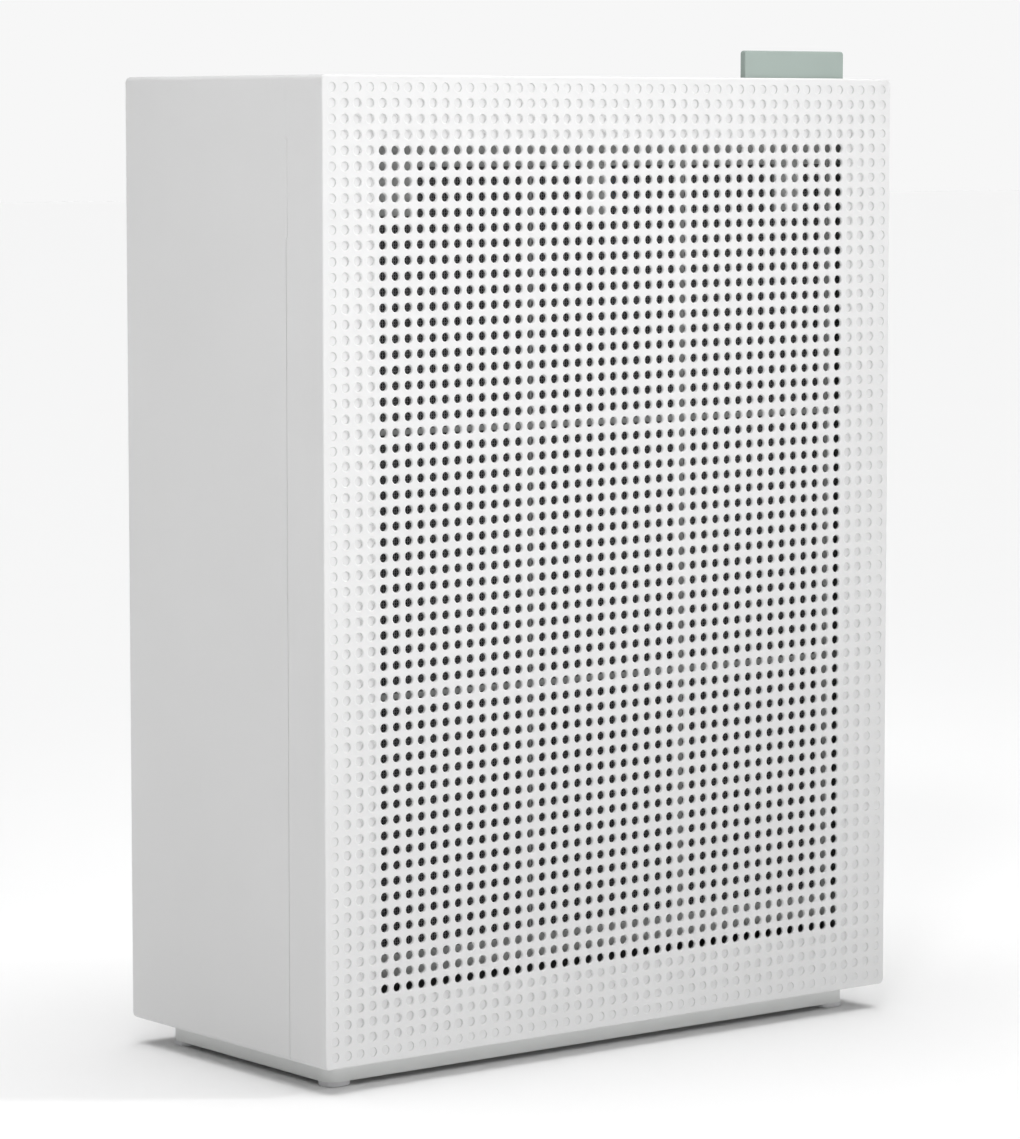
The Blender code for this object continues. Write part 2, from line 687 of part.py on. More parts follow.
def motor(mats):
    plate_y = 52 * MM
    bush_t = 2.6 * MM
    bracket_y = plate_y + 2 * GAP + bush_t
    bracket_t = 2 * MM
    bm = bmesh.new()
    disc(bm, FAN_X, FAN_Z, 47 * MM, bracket_y, bracket_y + bracket_t, 36)
    bracket = piece("motor_bracket", bm, mats["plated_steel"])
    for number, (x, z) in enumerate(motor_lugs(), 1):
        bm = bmesh.new()
        disc(bm, x, z, 11 * MM, bracket_y + 0.05 * MM, bracket_y + bracket_t - 0.05 * MM, 16)
        join(bracket, "bracket_ear_%d" % number, bm)
    bm = bmesh.new()
    disc(bm, FAN_X, FAN_Z, 8 * MM, bracket_y - MM, bracket_y + bracket_t + MM, 24)
    for x, z in motor_lugs():
        disc(bm, x, z, 2.1 * MM, bracket_y - MM, bracket_y + bracket_t + MM, 12)
    cut(bracket, "bracket_holes", bm)

    for number, (x, z) in enumerate(motor_lugs(), 1):
        bm = bmesh.new()
        y = plate_y + GAP
        turned(bm, [(2.2 * MM, y), (6 * MM, y), (6 * MM, y + bush_t), (2.2 * MM, y + bush_t)], x, z, 16)
        piece("motor_bush_%d" % number, bm, mats["rubber"])
        bm = bmesh.new()
        turned_screw(bm, x, z, bracket_y + bracket_t + GAP, -1, 9 * MM)
        piece("motor_screw_%d" % number, bm, mats["plated_steel"])

    front = bracket_y + bracket_t + GAP
    back = 74 * MM
    bore = SHAFT_R + 0.5 * MM
    step = 3 * MM
    bm = bmesh.new()
    turned(bm, [(bore, front), (40 * MM, front), (42 * MM, front + step), (42 * MM, back - step),
                (39 * MM, back), (14 * MM, back), (14 * MM, back - MM), (bore, back - MM)],
           FAN_X, FAN_Z, 36)
    piece("motor", bm, mats["black_steel"])


def impeller(mats, parent):
    hub_r = 14 * MM
    plate_t = 2 * MM
    ring_t = 4 * MM
    dish_y = WHEEL_Y1 - 20 * MM
    bore = SHAFT_R + GAP
    bm = bmesh.new()
    turned(bm, [(bore, dish_y - 6 * MM), (hub_r, dish_y - 6 * MM), (hub_r, dish_y),
                (60 * MM, WHEEL_Y1 - plate_t), (WHEEL_R, WHEEL_Y1 - plate_t), (WHEEL_R, WHEEL_Y1),
                (59 * MM, WHEEL_Y1), (hub_r, dish_y + plate_t + MM), (bore, dish_y + plate_t + MM)],
           FAN_X, FAN_Z, 48)
    wheel = piece("impeller", bm, mats["wheel"], parent)
    bm = bmesh.new()
    turned(bm, [(WHEEL_R - 3 * MM, WHEEL_Y0), (WHEEL_R + 0.6 * MM, WHEEL_Y0),
                (WHEEL_R + 0.6 * MM, WHEEL_Y0 + ring_t), (WHEEL_R - 3 * MM, WHEEL_Y0 + ring_t)],
           FAN_X, FAN_Z, 48)
    ring = helper("wheel_ring", bm)

    # Each blade is a thin plate that curves forwards with the turning of the wheel.
    bm = bmesh.new()
    thick = 0.7 * MM
    for k in range(BLADES):
        start = 360 * k / BLADES
        inner = []
        outer = []
        for t in (0, 0.5, 1):
            r = WHEEL_EYE_R + 1.5 * MM + (WHEEL_R - 1.5 * MM - WHEEL_EYE_R - 1.5 * MM) * t
            a = math.radians(start + 5.5 * t * t)
            skew = thick / r
            inner.append((FAN_X + r * math.cos(a - skew), FAN_Z + r * math.sin(a - skew)))
            outer.append((FAN_X + r * math.cos(a + skew), FAN_Z + r * math.sin(a + skew)))
        along_y(bm, inner + outer[::-1], WHEEL_Y0 + MM, WHEEL_Y1 - plate_t / 2)
    blades = helper("wheel_blades", bm)
    combine(wheel, blades, 'UNION')
    combine(wheel, ring, 'UNION')

    bm = bmesh.new()
    nut_y = dish_y - 6 * MM - GAP
    nut_bore = bore / math.cos(math.radians(30))
    turned(bm, [(nut_bore, nut_y - 4 * MM), (7 * MM, nut_y - 4 * MM), (7 * MM, nut_y), (nut_bore, nut_y)],
           FAN_X, FAN_Z, 6)
    piece("impeller_nut", bm, mats["plated_steel"], parent)
    bm = bmesh.new()
    disc(bm, FAN_X, FAN_Z, SHAFT_R, nut_y - 6 * MM, 71 * MM, 16)
    piece("motor_shaft", bm, mats["plated_steel"], parent)


# ---- electrics behind the fan ----
def power_board(mats):
    y = 58 * MM
    x0 = -150 * MM
    x1 = -78 * MM
    z0 = 62 * MM
    z1 = 118 * MM
    bm = bmesh.new()
    box(bm, x0, x1, y, y + 1.6 * MM, z0, z1)
    board = piece("power_board", bm, mats["circuit_board"])
    bm = bmesh.new()
    box(bm, -146 * MM, -122 * MM, y + MM, y + 14 * MM, 84 * MM, 106 * MM)
    disc(bm, -106 * MM, 102 * MM, 6 * MM, y + MM, y + 13 * MM, 16)
    disc(bm, -91 * MM, 102 * MM, 5 * MM, y + MM, y + 12 * MM, 16)
    box(bm, -112 * MM, -90 * MM, y + MM, y + 8 * MM, 76 * MM, 86 * MM)
    join(board, "board_components", bm)


def lead(name, route, radius, mat):
    """A wire along a smooth curve through the route's points."""
    curve = bpy.data.curves.new(name, 'CURVE')
    curve.dimensions = '3D'
    curve.bevel_depth = radius
    curve.bevel_resolution = 2
    curve.use_fill_caps = True
    points = [Vector(p) for p in route]
    ends = [points[0] * 2 - points[1]] + points + [points[-1] * 2 - points[-2]]
    smooth = []
    per_span = 6
    for i in range(1, len(ends) - 2):
        before, here, there, after = ends[i - 1:i + 3]
        for k in range(per_span):
            t = k / per_span
            smooth.append(0.5 * (2 * here + (there - before) * t
                                 + (2 * before - 5 * here + 4 * there - after) * t * t
                                 + (3 * here - before - 3 * there + after) * t ** 3))
    smooth.append(points[-1])
    spline = curve.splines.new('POLY')
    spline.points.add(len(smooth) - 1)
    for target, point in zip(spline.points, smooth):
        target.co = (*point, 1)
    obj = bpy.data.objects.new(name, curve)
    bpy.context.scene.collection.objects.link(obj)
    curve.materials.append(mat)


def leads(mats):
    lead("motor_lead", [(-82 * MM, 64 * MM, 119 * MM), (-81 * MM, 66 * MM, 132 * MM),
                        (-74 * MM, 67 * MM, 150 * MM), (-64 * MM, 67 * MM, 166 * MM),
                        (-57.5 * MM, 66 * MM, 176 * MM)], 1.8 * MM, mats["rubber"])
    lead("mains_lead", [(-119 * MM, 57.5 * MM, 37 * MM), (-119 * MM, 55 * MM, 39 * MM),
                        (-121 * MM, 55 * MM, 48 * MM), (-128 * MM, 57 * MM, 55 * MM),
                        (-134 * MM, 59 * MM, 61 * MM)], 1.6 * MM, mats["rubber"])


# ---- stand ----
def plinth(mats):
    x = X1 - PLINTH_INSET_X
    y = Y1 - PLINTH_INSET_Y
    bottom = FOOT_H + GAP
    top = Z0 - GAP
    bm = bmesh.new()
    along_z(bm, rounded(-x, x, -y, y, PLINTH_R, 4), bottom, top)
    base = piece("base_plinth", bm, mats["light_grey"])
    bm = bmesh.new()
    for sx, sy in PLINTH_SCREWS:
        along_z(bm, circle(sx, sy, 2 * MM, 12), bottom - MM, top + MM)
    cut(base, "plinth_bores", bm)
    bm = bmesh.new()
    for sx, sy in PLINTH_SCREWS:
        along_z(bm, circle(sx, sy, 4.4 * MM, 12), bottom - MM, bottom + 4 * MM)
    cut(base, "plinth_counterbores", bm)

    for number, (sx, sy) in enumerate(PLINTH_SCREWS, 1):
        bm = bmesh.new()
        seat = bottom + 4 * MM - GAP
        rings = []
        for radius, z in ((2.6 * MM, seat - 2.2 * MM), (3.6 * MM, seat - 1.2 * MM), (3.6 * MM, seat),
                          (1.7 * MM, seat), (1.7 * MM, Z0 + 4 * MM), (0.8 * MM, Z0 + 6 * MM)):
            rings.append([(px, py, z) for px, py in circle(sx, sy, radius, 12)])
        loft(bm, rings)
        piece("plinth_screw_%d" % number, bm, mats["plated_steel"])

    for tag, side_x, side_y in (("front_left", -1, -1), ("front_right", 1, -1),
                                ("rear_left", -1, 1), ("rear_right", 1, 1)):
        bm = bmesh.new()
        xa, xb = sorted((side_x * x, side_x * (x - FOOT_W)))
        ya, yb = sorted((side_y * y, side_y * (y - FOOT_D)))
        along_z(bm, rounded(xa, xb, ya, yb, 5 * MM, 4), 0, FOOT_H)
        piece("foot_" + tag, bm, mats["foot_rubber"])


def main():
    for obj in list(bpy.data.objects):
        bpy.data.objects.remove(obj, do_unlink=True)
    mats = {
        "white_plastic": material("white_plastic", (0.86, 0.86, 0.85), 0.45),
        "light_grey": material("light_grey", (0.50, 0.50, 0.49), 0.5),
        "sage": material("sage", (0.42, 0.49, 0.45), 0.5),
        "black_mesh": material("black_mesh", (0.02, 0.02, 0.02), 0.8),
        "dark_plastic": material("dark_plastic", (0.04, 0.04, 0.045), 0.5),
        "carbon": material("carbon", (0.015, 0.015, 0.015), 0.9),
        "ribbon": material("ribbon", (0.25, 0.45, 0.6), 0.8),
        "paper": material("paper", (0.88, 0.88, 0.86), 0.9),
        "foam": material("foam", (0.12, 0.12, 0.12), 0.95),
        "panel": material("panel", (0.8, 0.8, 0.79), 0.15),
        "circuit_board": material("circuit_board", (0.02, 0.2, 0.08), 0.5),
        "plated_steel": material("plated_steel", (0.6, 0.6, 0.62), 0.3, 1.0),
        "black_steel": material("black_steel", (0.05, 0.05, 0.06), 0.4, 1.0),
        "wheel": material("wheel", (0.75, 0.76, 0.76), 0.4),
        "rubber": material("rubber", (0.02, 0.02, 0.02), 0.8),
        "foot_rubber": material("foot_rubber", (0.45, 0.45, 0.47), 0.8),
    }
    cover_frame = moving_frame("cover_slide", (0, SEAM_Y, Z0 + BODY_H / 2))
    prefilter_frame = moving_frame("prefilter_slide", (0, -Y1 + PREFILTER_BACK, Z1))
    deodor_frame = moving_frame("deodorising_slide", (0, SEAM_Y, (FILTER_Z0 + FILTER_Z1) / 2))
    hepa_frame = moving_frame("hepa_slide", (0, BAY_Y, (FILTER_Z0 + FILTER_Z1) / 2))
    fan_frame = moving_frame("fan_axis", (FAN_X, 0, FAN_Z))

    front_cover(mats["white_plastic"], cover_frame)
    prefilter(mats, prefilter_frame)
    deodorising_filter(mats, deodor_frame)
    hepa_filter(mats, hepa_frame)
    rear_casing(mats["white_plastic"])
    outlet_grille(mats["white_plastic"])
    control_panel(mats)
    handle_cup(mats["white_plastic"])
    power_inlet(mats)
    dust_sensor(mats)
    filter_bay(mats)
    inlet_pieces(mats)
    scroll_housing(mats)
    motor(mats)
    impeller(mats, fan_frame)
    power_board(mats)
    leads(mats)
    plinth(mats)
    bpy.context.view_layer.update()


main()
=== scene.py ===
# %% [markdown]
# # A slim air purifier, piece by piece
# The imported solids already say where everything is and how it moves. This lesson builds the surfaces
# that a person would look at: the dotted front, the satin casing, the sage pre-filter and its tab, the
# net, the filters and the fan behind them. Each piece is placed from the box of the solid it stands for.

# %% Load the fixed frame
import math

import bmesh
import bpy
import numpy as np
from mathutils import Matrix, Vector


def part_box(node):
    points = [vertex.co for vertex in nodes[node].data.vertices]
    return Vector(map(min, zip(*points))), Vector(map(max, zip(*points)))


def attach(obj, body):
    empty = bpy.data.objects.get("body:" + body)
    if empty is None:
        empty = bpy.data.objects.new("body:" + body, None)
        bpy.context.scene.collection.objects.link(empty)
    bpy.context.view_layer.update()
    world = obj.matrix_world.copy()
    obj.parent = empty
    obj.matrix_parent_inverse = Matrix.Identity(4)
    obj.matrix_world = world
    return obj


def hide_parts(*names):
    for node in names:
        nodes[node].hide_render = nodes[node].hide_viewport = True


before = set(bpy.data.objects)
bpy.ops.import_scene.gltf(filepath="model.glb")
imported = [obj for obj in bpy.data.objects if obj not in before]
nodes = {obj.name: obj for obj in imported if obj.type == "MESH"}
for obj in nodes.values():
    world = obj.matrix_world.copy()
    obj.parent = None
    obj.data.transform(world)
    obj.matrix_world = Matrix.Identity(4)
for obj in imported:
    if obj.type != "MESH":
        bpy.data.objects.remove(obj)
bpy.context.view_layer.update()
MM = 0.001

# %% [markdown]
# ## Where the eye stands
# A case like this is best seen from a little under its top edge, from the front left, with a long lens, so
# that the upright edges stay almost parallel. A little over two metres away and a lens of about 143 mm
# give that flat, calm perspective.

# %% Camera
def make_camera(name, place, yaw, pitch, lens):
    data = bpy.data.cameras.new(name)
    data.lens = lens
    data.sensor_width = 36
    data.clip_start = 0.01
    data.clip_end = 50
    camera = bpy.data.objects.new(name, data)
    camera.location = place
    camera.rotation_euler = (math.radians(90 + pitch), 0, math.radians(yaw))
    bpy.context.scene.collection.objects.link(camera)
    bpy.context.scene.camera = camera
    return camera


camera = make_camera("camera", place=(-1.3346, -1.7003, 0.4350), yaw=-38.067, pitch=-5.629, lens=142.7)
print("camera looks along", [round(v, 3) for v in camera.rotation_euler.to_matrix() @ Vector((0, 0, -1))])

# %% [markdown]
# ## Floor and light
# The floor is one wide pale sheet. The sky is white near the horizon, where it meets the floor, and dimmer
# overhead, so no line shows between the two and the case still has a light and a shaded side. A soft sun
# straight above makes the floor as bright as the sky. A key spot at the upper front right rakes across the
# front and draws a dark crescent in every dimple. A weaker spot at the upper left lights the side and lets
# it fall off towards the back and the bottom, and a low panel in front keeps the bottom rows from sinking.
# The plain colour transform keeps white plastic white.

# %% Studio
def make_floor(reach, brightness):
    bm = bmesh.new()
    corners = [(-reach, -reach), (reach, -reach), (reach, reach), (-reach, reach)]
    bm.faces.new([bm.verts.new((x, y, 0)) for x, y in corners])
    mesh = bpy.data.meshes.new("studio_floor")
    bm.to_mesh(mesh)
    bm.free()
    mat = bpy.data.materials.new("studio_floor")
    mat.use_nodes = True
    shader = mat.node_tree.nodes["Principled BSDF"]
    shader.inputs["Base Color"].default_value = (brightness, brightness, brightness, 1)
    shader.inputs["Roughness"].default_value = 0.9
    mesh.materials.append(mat)
    floor = bpy.data.objects.new("studio_floor", mesh)
    bpy.context.scene.collection.objects.link(floor)


def place_light(data, place, aim):
    lamp = bpy.data.objects.new(data.name, data)
    lamp.location = place
    lamp.rotation_euler = (Vector(aim) - Vector(place)).to_track_quat('-Z', 'Y').to_euler()
    bpy.context.scene.collection.objects.link(lamp)


def make_panel(name, place, aim, size, power):
    data = bpy.data.lights.new(name, 'AREA')
    data.shape = 'RECTANGLE'
    data.size, data.size_y = size
    data.energy = power
    place_light(data, place, aim)


def make_spot(name, place, aim, power, angle, radius):
    data = bpy.data.lights.new(name, 'SPOT')
    data.energy = power
    data.spot_size = math.radians(angle)
    data.spot_blend = 1.0
    data.shadow_soft_size = radius
    place_light(data, place, aim)


def make_sun(strength, spread_angle):
    """A sun straight above: it lights the floor and the top, and no upright face."""
    data = bpy.data.lights.new("overhead_sun", 'SUN')
    data.energy = strength
    data.angle = math.radians(spread_angle)
    place_light(data, (0, 0, 3), (0, 0, 0))


def make_sky(horizon, overhead, fade_from, fade_to):
    """White where it meets the floor, dimmer higher up. The fade's two heights are sines of elevation."""
    world = bpy.data.worlds.new("studio_sky")
    world.use_nodes = True
    tree = world.node_tree
    background = tree.nodes["Background"]
    background.inputs["Color"].default_value = (1.0, 1.0, 1.0, 1)
    direction = tree.nodes.new("ShaderNodeTexCoord")
    split = tree.nodes.new("ShaderNodeSeparateXYZ")
    fade = tree.nodes.new("ShaderNodeMapRange")
    fade.inputs["From Min"].default_value = fade_from
    fade.inputs["From Max"].default_value = fade_to
    fade.inputs["To Min"].default_value = horizon
    fade.inputs["To Max"].default_value = overhead
    tree.links.new(direction.outputs["Generated"], split.inputs["Vector"])
    tree.links.new(split.outputs["Z"], fade.inputs["Value"])
    tree.links.new(fade.outputs["Result"], background.inputs["Strength"])
    bpy.context.scene.world = world


make_floor(reach=20, brightness=0.93)
make_sky(horizon=0.93, overhead=0.05, fade_from=0.10, fade_to=0.22)
make_sun(strength=3.0, spread_angle=60)
make_spot("key_spot", place=(2.05, -1.65, 1.5), aim=(-0.20, -0.08, 0.34), power=202, angle=17, radius=0.18)
make_spot("left_spot", place=(-1.5, -1.3, 1.7), aim=(-0.17, -0.15, 0.52), power=80, angle=17, radius=0.3)
make_panel("low_fill", place=(0.1, -2.4, 0.25), aim=(0, 0, 0.15), size=(1.4, 0.3), power=3.8)
bpy.context.scene.view_settings.view_transform = 'Standard'

# %% [markdown]
# ## Sizes that everything shares
# The body and the seam are read from the solids. The dots are a grid of 48 by 63, 7 mm apart and centred
# on the front, and the outer four rings are blind. A hole is 4 mm wide inside, in a skin 1.2 mm thick.

# %% Shared sizes
cover_low, cover_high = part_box("front_cover")
casing_low, casing_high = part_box("rear_casing")
FRONT = cover_low.y
BACK = casing_high.y
HALF_W = cover_high.x
BOTTOM = cover_low.z
TOP = cover_high.z
SEAM = (cover_high.y + casing_low.y) / 2
WALL = 2.2 * MM
FRONT_WALL = 1.8 * MM
PITCH = 7 * MM
DOT_WALL = 1.2 * MM
HOLE_R = 2.03 * MM
LIP = 0.7 * MM                  # the rounding where a hole meets the front face
COLUMNS = 48
ROWS = 63
BLIND = 4
MID_Z = (TOP + BOTTOM) / 2
print("body", round(2 * HALF_W, 4), round(BACK - FRONT, 4), round(TOP - BOTTOM, 4), "seam", round(SEAM, 4))

# %% [markdown]
# ## Drawing outlines and skins
# Most pieces are an outline pushed along one direction. Corners are arcs worked out from a radius. A skin
# through several copies of an outline gives a rounded edge where the copies shrink along a quarter circle.

# %% Outline helpers
def arc(cx, cy, radius, start, end, steps):
    points = []
    for k in range(steps + 1):
        a = math.radians(start + (end - start) * k / steps)
        points.append((cx + radius * math.cos(a), cy + radius * math.sin(a)))
    return points


def rounded(a0, a1, b0, b1, radius, steps=6):
    return (arc(a1 - radius, b1 - radius, radius, 0, 90, steps)
            + arc(a0 + radius, b1 - radius, radius, 90, 180, steps)
            + arc(a0 + radius, b0 + radius, radius, 180, 270, steps)
            + arc(a1 - radius, b0 + radius, radius, 270, 360, steps))


def skin(bm, rings, closed=False):
    loops = [[bm.verts.new(p) for p in ring] for ring in rings]
    count = len(loops[0])
    pairs = list(zip(loops, loops[1:]))
    if closed:
        pairs.append((loops[-1], loops[0]))
    for low, high in pairs:
        for i in range(count):
            j = (i + 1) % count
            bm.faces.new((low[i], low[j], high[j], high[i]))
    if not closed:
        bm.faces.new(loops[0])
        bm.faces.new(loops[-1])


def push(outline, axis, start, end):
    """A solid: the outline pushed from start to end along an axis, as a new bmesh."""
    bm = bmesh.new()
    add_push(bm, outline, axis, start, end)
    return bm


def add_push(bm, outline, axis, start, end):
    order = {"x": lambda a, b, c: (c, a, b), "y": lambda a, b, c: (a, c, b), "z": lambda a, b, c: (a, b, c)}
    place = order[axis]
    skin(bm, [[place(a, b, c) for a, b in outline] for c in (start, end)])


def add_block(bm, low, high):
    x0, y0, z0 = low
    x1, y1, z1 = high
    add_push(bm, [(x0, z0), (x1, z0), (x1, z1), (x0, z1)], "y", y0, y1)


def add_turned(bm, profile, cx, cz, steps):
    """Spins a closed profile of (radius, y) points round a line along Y."""
    rings = []
    for k in range(steps):
        a = 2 * math.pi * k / steps
        rings.append([(cx + r * math.cos(a), y, cz + r * math.sin(a)) for r, y in profile])
    skin(bm, rings, closed=True)


print("helpers ready: a 10 mm square has", len(rounded(0, 0.01, 0, 0.01, 0.002)), "outline points")

# %% [markdown]
# ## Joining, cutting and rounding
# A moulding is easiest to make the way a toolmaker thinks of it: a block, less its hollows, plus its ribs.
# The Boolean step does the cutting, and a narrow bevel then breaks the sharp edges, because no moulded
# edge is truly sharp and the thin highlight along it is what makes plastic look real.

# %% Solid helpers
def make_object(name, bm):
    bmesh.ops.recalc_face_normals(bm, faces=bm.faces[:])
    mesh = bpy.data.meshes.new(name)
    bm.to_mesh(mesh)
    bm.free()
    obj = bpy.data.objects.new(name, mesh)
    bpy.context.scene.collection.objects.link(obj)
    return obj


def apply_steps(obj):
    """Turns an object's modifiers into plain mesh."""
    graph = bpy.context.evaluated_depsgraph_get()
    mesh = bpy.data.meshes.new_from_object(obj.evaluated_get(graph), depsgraph=graph)
    old = obj.data
    obj.modifiers.clear()
    obj.data = mesh
    bpy.data.meshes.remove(old)
    mesh.name = obj.name


def combine(obj, bm, operation):
    tool = make_object("tool", bm)
    step = obj.modifiers.new("combine", 'BOOLEAN')
    step.operation = operation
    step.object = tool
    apply_steps(obj)
    bpy.data.objects.remove(tool, do_unlink=True)


def cut(obj, bm):
    combine(obj, bm, 'DIFFERENCE')


def fuse(obj, bm):
    combine(obj, bm, 'UNION')


def break_edges(obj, width, segments=2, angle=35):
    step = obj.modifiers.new("break_edges", 'BEVEL')
    step.width = width
    step.segments = segments
    step.limit_method = 'ANGLE'
    step.angle_limit = math.radians(angle)
    step.use_clamp_overlap = True
    apply_steps(obj)


def finish_piece(obj, mat, body, stands_for=(), smooth=35):
    obj.data.materials.clear()
    obj.data.materials.append(mat)
    obj.data.shade_smooth()
    obj.data.set_sharp_from_angle(angle=math.radians(smooth))
    level = obj.modifiers.new("level_flats", 'WEIGHTED_NORMAL')
    level.mode = 'FACE_AREA'
    level.weight = 100
    level.keep_sharp = True
    apply_steps(obj)
    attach(obj, body)
    if stands_for:
        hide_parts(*stands_for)
    print(obj.name, "rides on", body, "faces:", len(obj.data.polygons))


print("solid helpers ready: combine, break edges, finish")

# %% [markdown]
# ## Finishes
# Moulded plastic is never one flat colour. Its tool was sparked to a fine grain, which shows as a soft,
# slightly broken sheen, and its tint drifts a little over a hand's width. Three noises do that: one for
# the tint, one for the gloss and one, very fine, for the bump.

# %% Node helpers
NOISE_LOW, NOISE_HIGH = 0.3, 0.7    # nearly all of a noise lies between these
GRAIN_DEEP = 0.012 * MM


def start_material(name, roughness=0.5):
    mat = bpy.data.materials.new(name)
    mat.use_nodes = True
    tree = mat.node_tree
    shader = tree.nodes["Principled BSDF"]
    shader.inputs["Roughness"].default_value = roughness
    where = tree.nodes.new("ShaderNodeTexCoord")
    return mat, tree, shader, where.outputs["Object"]


def noise(tree, where, scale, detail=2.0):
    node = tree.nodes.new("ShaderNodeTexNoise")
    node.inputs["Scale"].default_value = scale
    node.inputs["Detail"].default_value = detail
    tree.links.new(where, node.inputs["Vector"])
    return node.outputs["Fac"]


def blend_colour(tree, factor, first, second):
    ramp = tree.nodes.new("ShaderNodeValToRGB")
    ramp.color_ramp.elements[0].position = NOISE_LOW
    ramp.color_ramp.elements[1].position = NOISE_HIGH
    ramp.color_ramp.elements[0].color = (*first, 1)
    ramp.color_ramp.elements[1].color = (*second, 1)
    tree.links.new(factor, ramp.inputs["Fac"])
    return ramp.outputs["Color"]


def spread(tree, factor, low, high):
    node = tree.nodes.new("ShaderNodeMapRange")
    node.inputs["From Min"].default_value = NOISE_LOW
    node.inputs["From Max"].default_value = NOISE_HIGH
    node.inputs["To Min"].default_value = low
    node.inputs["To Max"].default_value = high
    tree.links.new(factor, node.inputs["Value"])
    return node.outputs["Result"]


def bump(tree, shader, height, strength, distance):
    node = tree.nodes.new("ShaderNodeBump")
    node.inputs["Strength"].default_value = strength
    node.inputs["Distance"].default_value = distance
    tree.links.new(height, node.inputs["Height"])
    tree.links.new(node.outputs["Normal"], shader.inputs["Normal"])


def moulded(name, colour, roughness, grain=0.5 * MM, drift=0.03):
    """Spark-grained plastic: colour, gloss and grain each vary a little."""
    mat, tree, shader, where = start_material(name)
    shader.inputs["IOR"].default_value = 1.48
    darker = [c * (1 - drift) for c in colour]
    tint = blend_colour(tree, noise(tree, where, 9, 3), darker, colour)
    tree.links.new(tint, shader.inputs["Base Color"])
    gloss = spread(tree, noise(tree, where, 55, 4), roughness - 0.04, roughness + 0.05)
    tree.links.new(gloss, shader.inputs["Roughness"])
    bump(tree, shader, noise(tree, where, 1 / grain, 3), 0.5, GRAIN_DEEP)
    return mat


white = moulded("satin_white", (0.75, 0.75, 0.75), 0.42)
pale_grey = moulded("stand_grey", (0.78, 0.79, 0.78), 0.45)
rib_grey = moulded("filter_frame_grey", (0.66, 0.67, 0.66), 0.5)
bay_grey = moulded("bay_grey", (0.60, 0.61, 0.61), 0.5)
sage = moulded("sage_green", (0.345, 0.412, 0.38), 0.5, drift=0.06)
charcoal = moulded("charcoal_plastic", (0.035, 0.036, 0.038), 0.5, drift=0.2)
wheel_white = moulded("fan_wheel_plastic", (0.70, 0.71, 0.71), 0.38)
print("plastics:", [m.name for m in (white, pale_grey, rib_grey, bay_grey, sage, charcoal, wheel_white)])

# %% [markdown]
# ## One dot, drawn once
# The front has 2200 open holes and 824 dimples. Cutting each with a Boolean would take minutes and leave
# a ragged mesh, so one square tile with a hole in its middle is drawn by formula, copied to every
# place on the grid, and welded to its neighbours. A tile is a list of rings: each has a radius, a depth
# and the tilt of the surface there, and the tilts become exact normals, so the lips shade as true curves.
# Every dot has a quarter-round lip and then an upright wall, and a dimple ends in a flat floor.

# %% Dot tiles
STEPS = 16


def dot_profile(radius, lip, depth):
    """Rings down a dot: a quarter-round lip, then an upright wall. Each is (radius, depth, tilt)."""
    rings = []
    for k in range(4):
        a = math.radians(30 * k)
        rings.append((radius + lip * (1 - math.sin(a)), lip * (1 - math.cos(a)), a))
    return rings + [(radius, depth, math.radians(90))]


def dot_tile(profile, through, thickness, half, corners=8, steps=STEPS, turn=0.0):
    """Points, faces and face-corner normals of one tile, as (across, down, up)."""
    points = []
    faces = []
    normals = []
    flat = (0.0, -1.0, 0.0)
    behind = (0.0, 1.0, 0.0)

    def edge_loop(y):
        first = len(points)
        for k in range(corners):
            a = 2 * math.pi * k / corners + turn
            if corners == 8:
                reach = half / max(abs(math.cos(a)), abs(math.sin(a)))
            else:
                reach = half / math.cos(math.pi / corners)
            points.append((reach * math.cos(a), y, reach * math.sin(a)))
        return first

    def ring(radius, y):
        first = len(points)
        for k in range(steps):
            a = 2 * math.pi * k / steps + turn
            points.append((radius * math.cos(a), y, radius * math.sin(a)))
        return first

    def tilted(k, tilt):
        a = 2 * math.pi * k / steps + turn
        return (-math.sin(tilt) * math.cos(a), -math.cos(tilt), -math.sin(tilt) * math.sin(a))

    def border(edge, inner, normal, flip):
        share = steps // corners
        for c in range(corners):
            here = edge + c
            there = edge + (c + 1) % corners
            run = [inner + (c * share + s) % steps for s in range(share + 1)]
            half_way = share // 2
            fans = [(run[s], here, run[s + 1]) for s in range(half_way)]
            fans.append((run[half_way], here, there))
            fans += [(run[s], there, run[s + 1]) for s in range(half_way, share)]
            for fan in fans:
                faces.append(fan[::-1] if flip else fan)
                normals.append([normal] * 3)

    edge = edge_loop(0)
    rings = [ring(r, y) for r, y, tilt in profile]
    border(edge, rings[0], flat, False)
    for (low, high), (before, after) in zip(zip(rings, rings[1:]), zip(profile, profile[1:])):
        for k in range(steps):
            j = (k + 1) % steps
            faces.append((low + k, low + j, high + j, high + k))
            normals.append([tilted(k, before[2]), tilted(j, before[2]),
                            tilted(j, after[2]), tilted(k, after[2])])
    back_edge = edge_loop(thickness)
    if through:
        border(back_edge, rings[-1], behind, True)
    else:
        faces.append(tuple(rings[-1] + k for k in range(steps)))
        normals.append([flat] * steps)
        faces.append(tuple(back_edge + k for k in reversed(range(corners))))
        normals.append([behind] * corners)
    return np.array(points), faces, normals


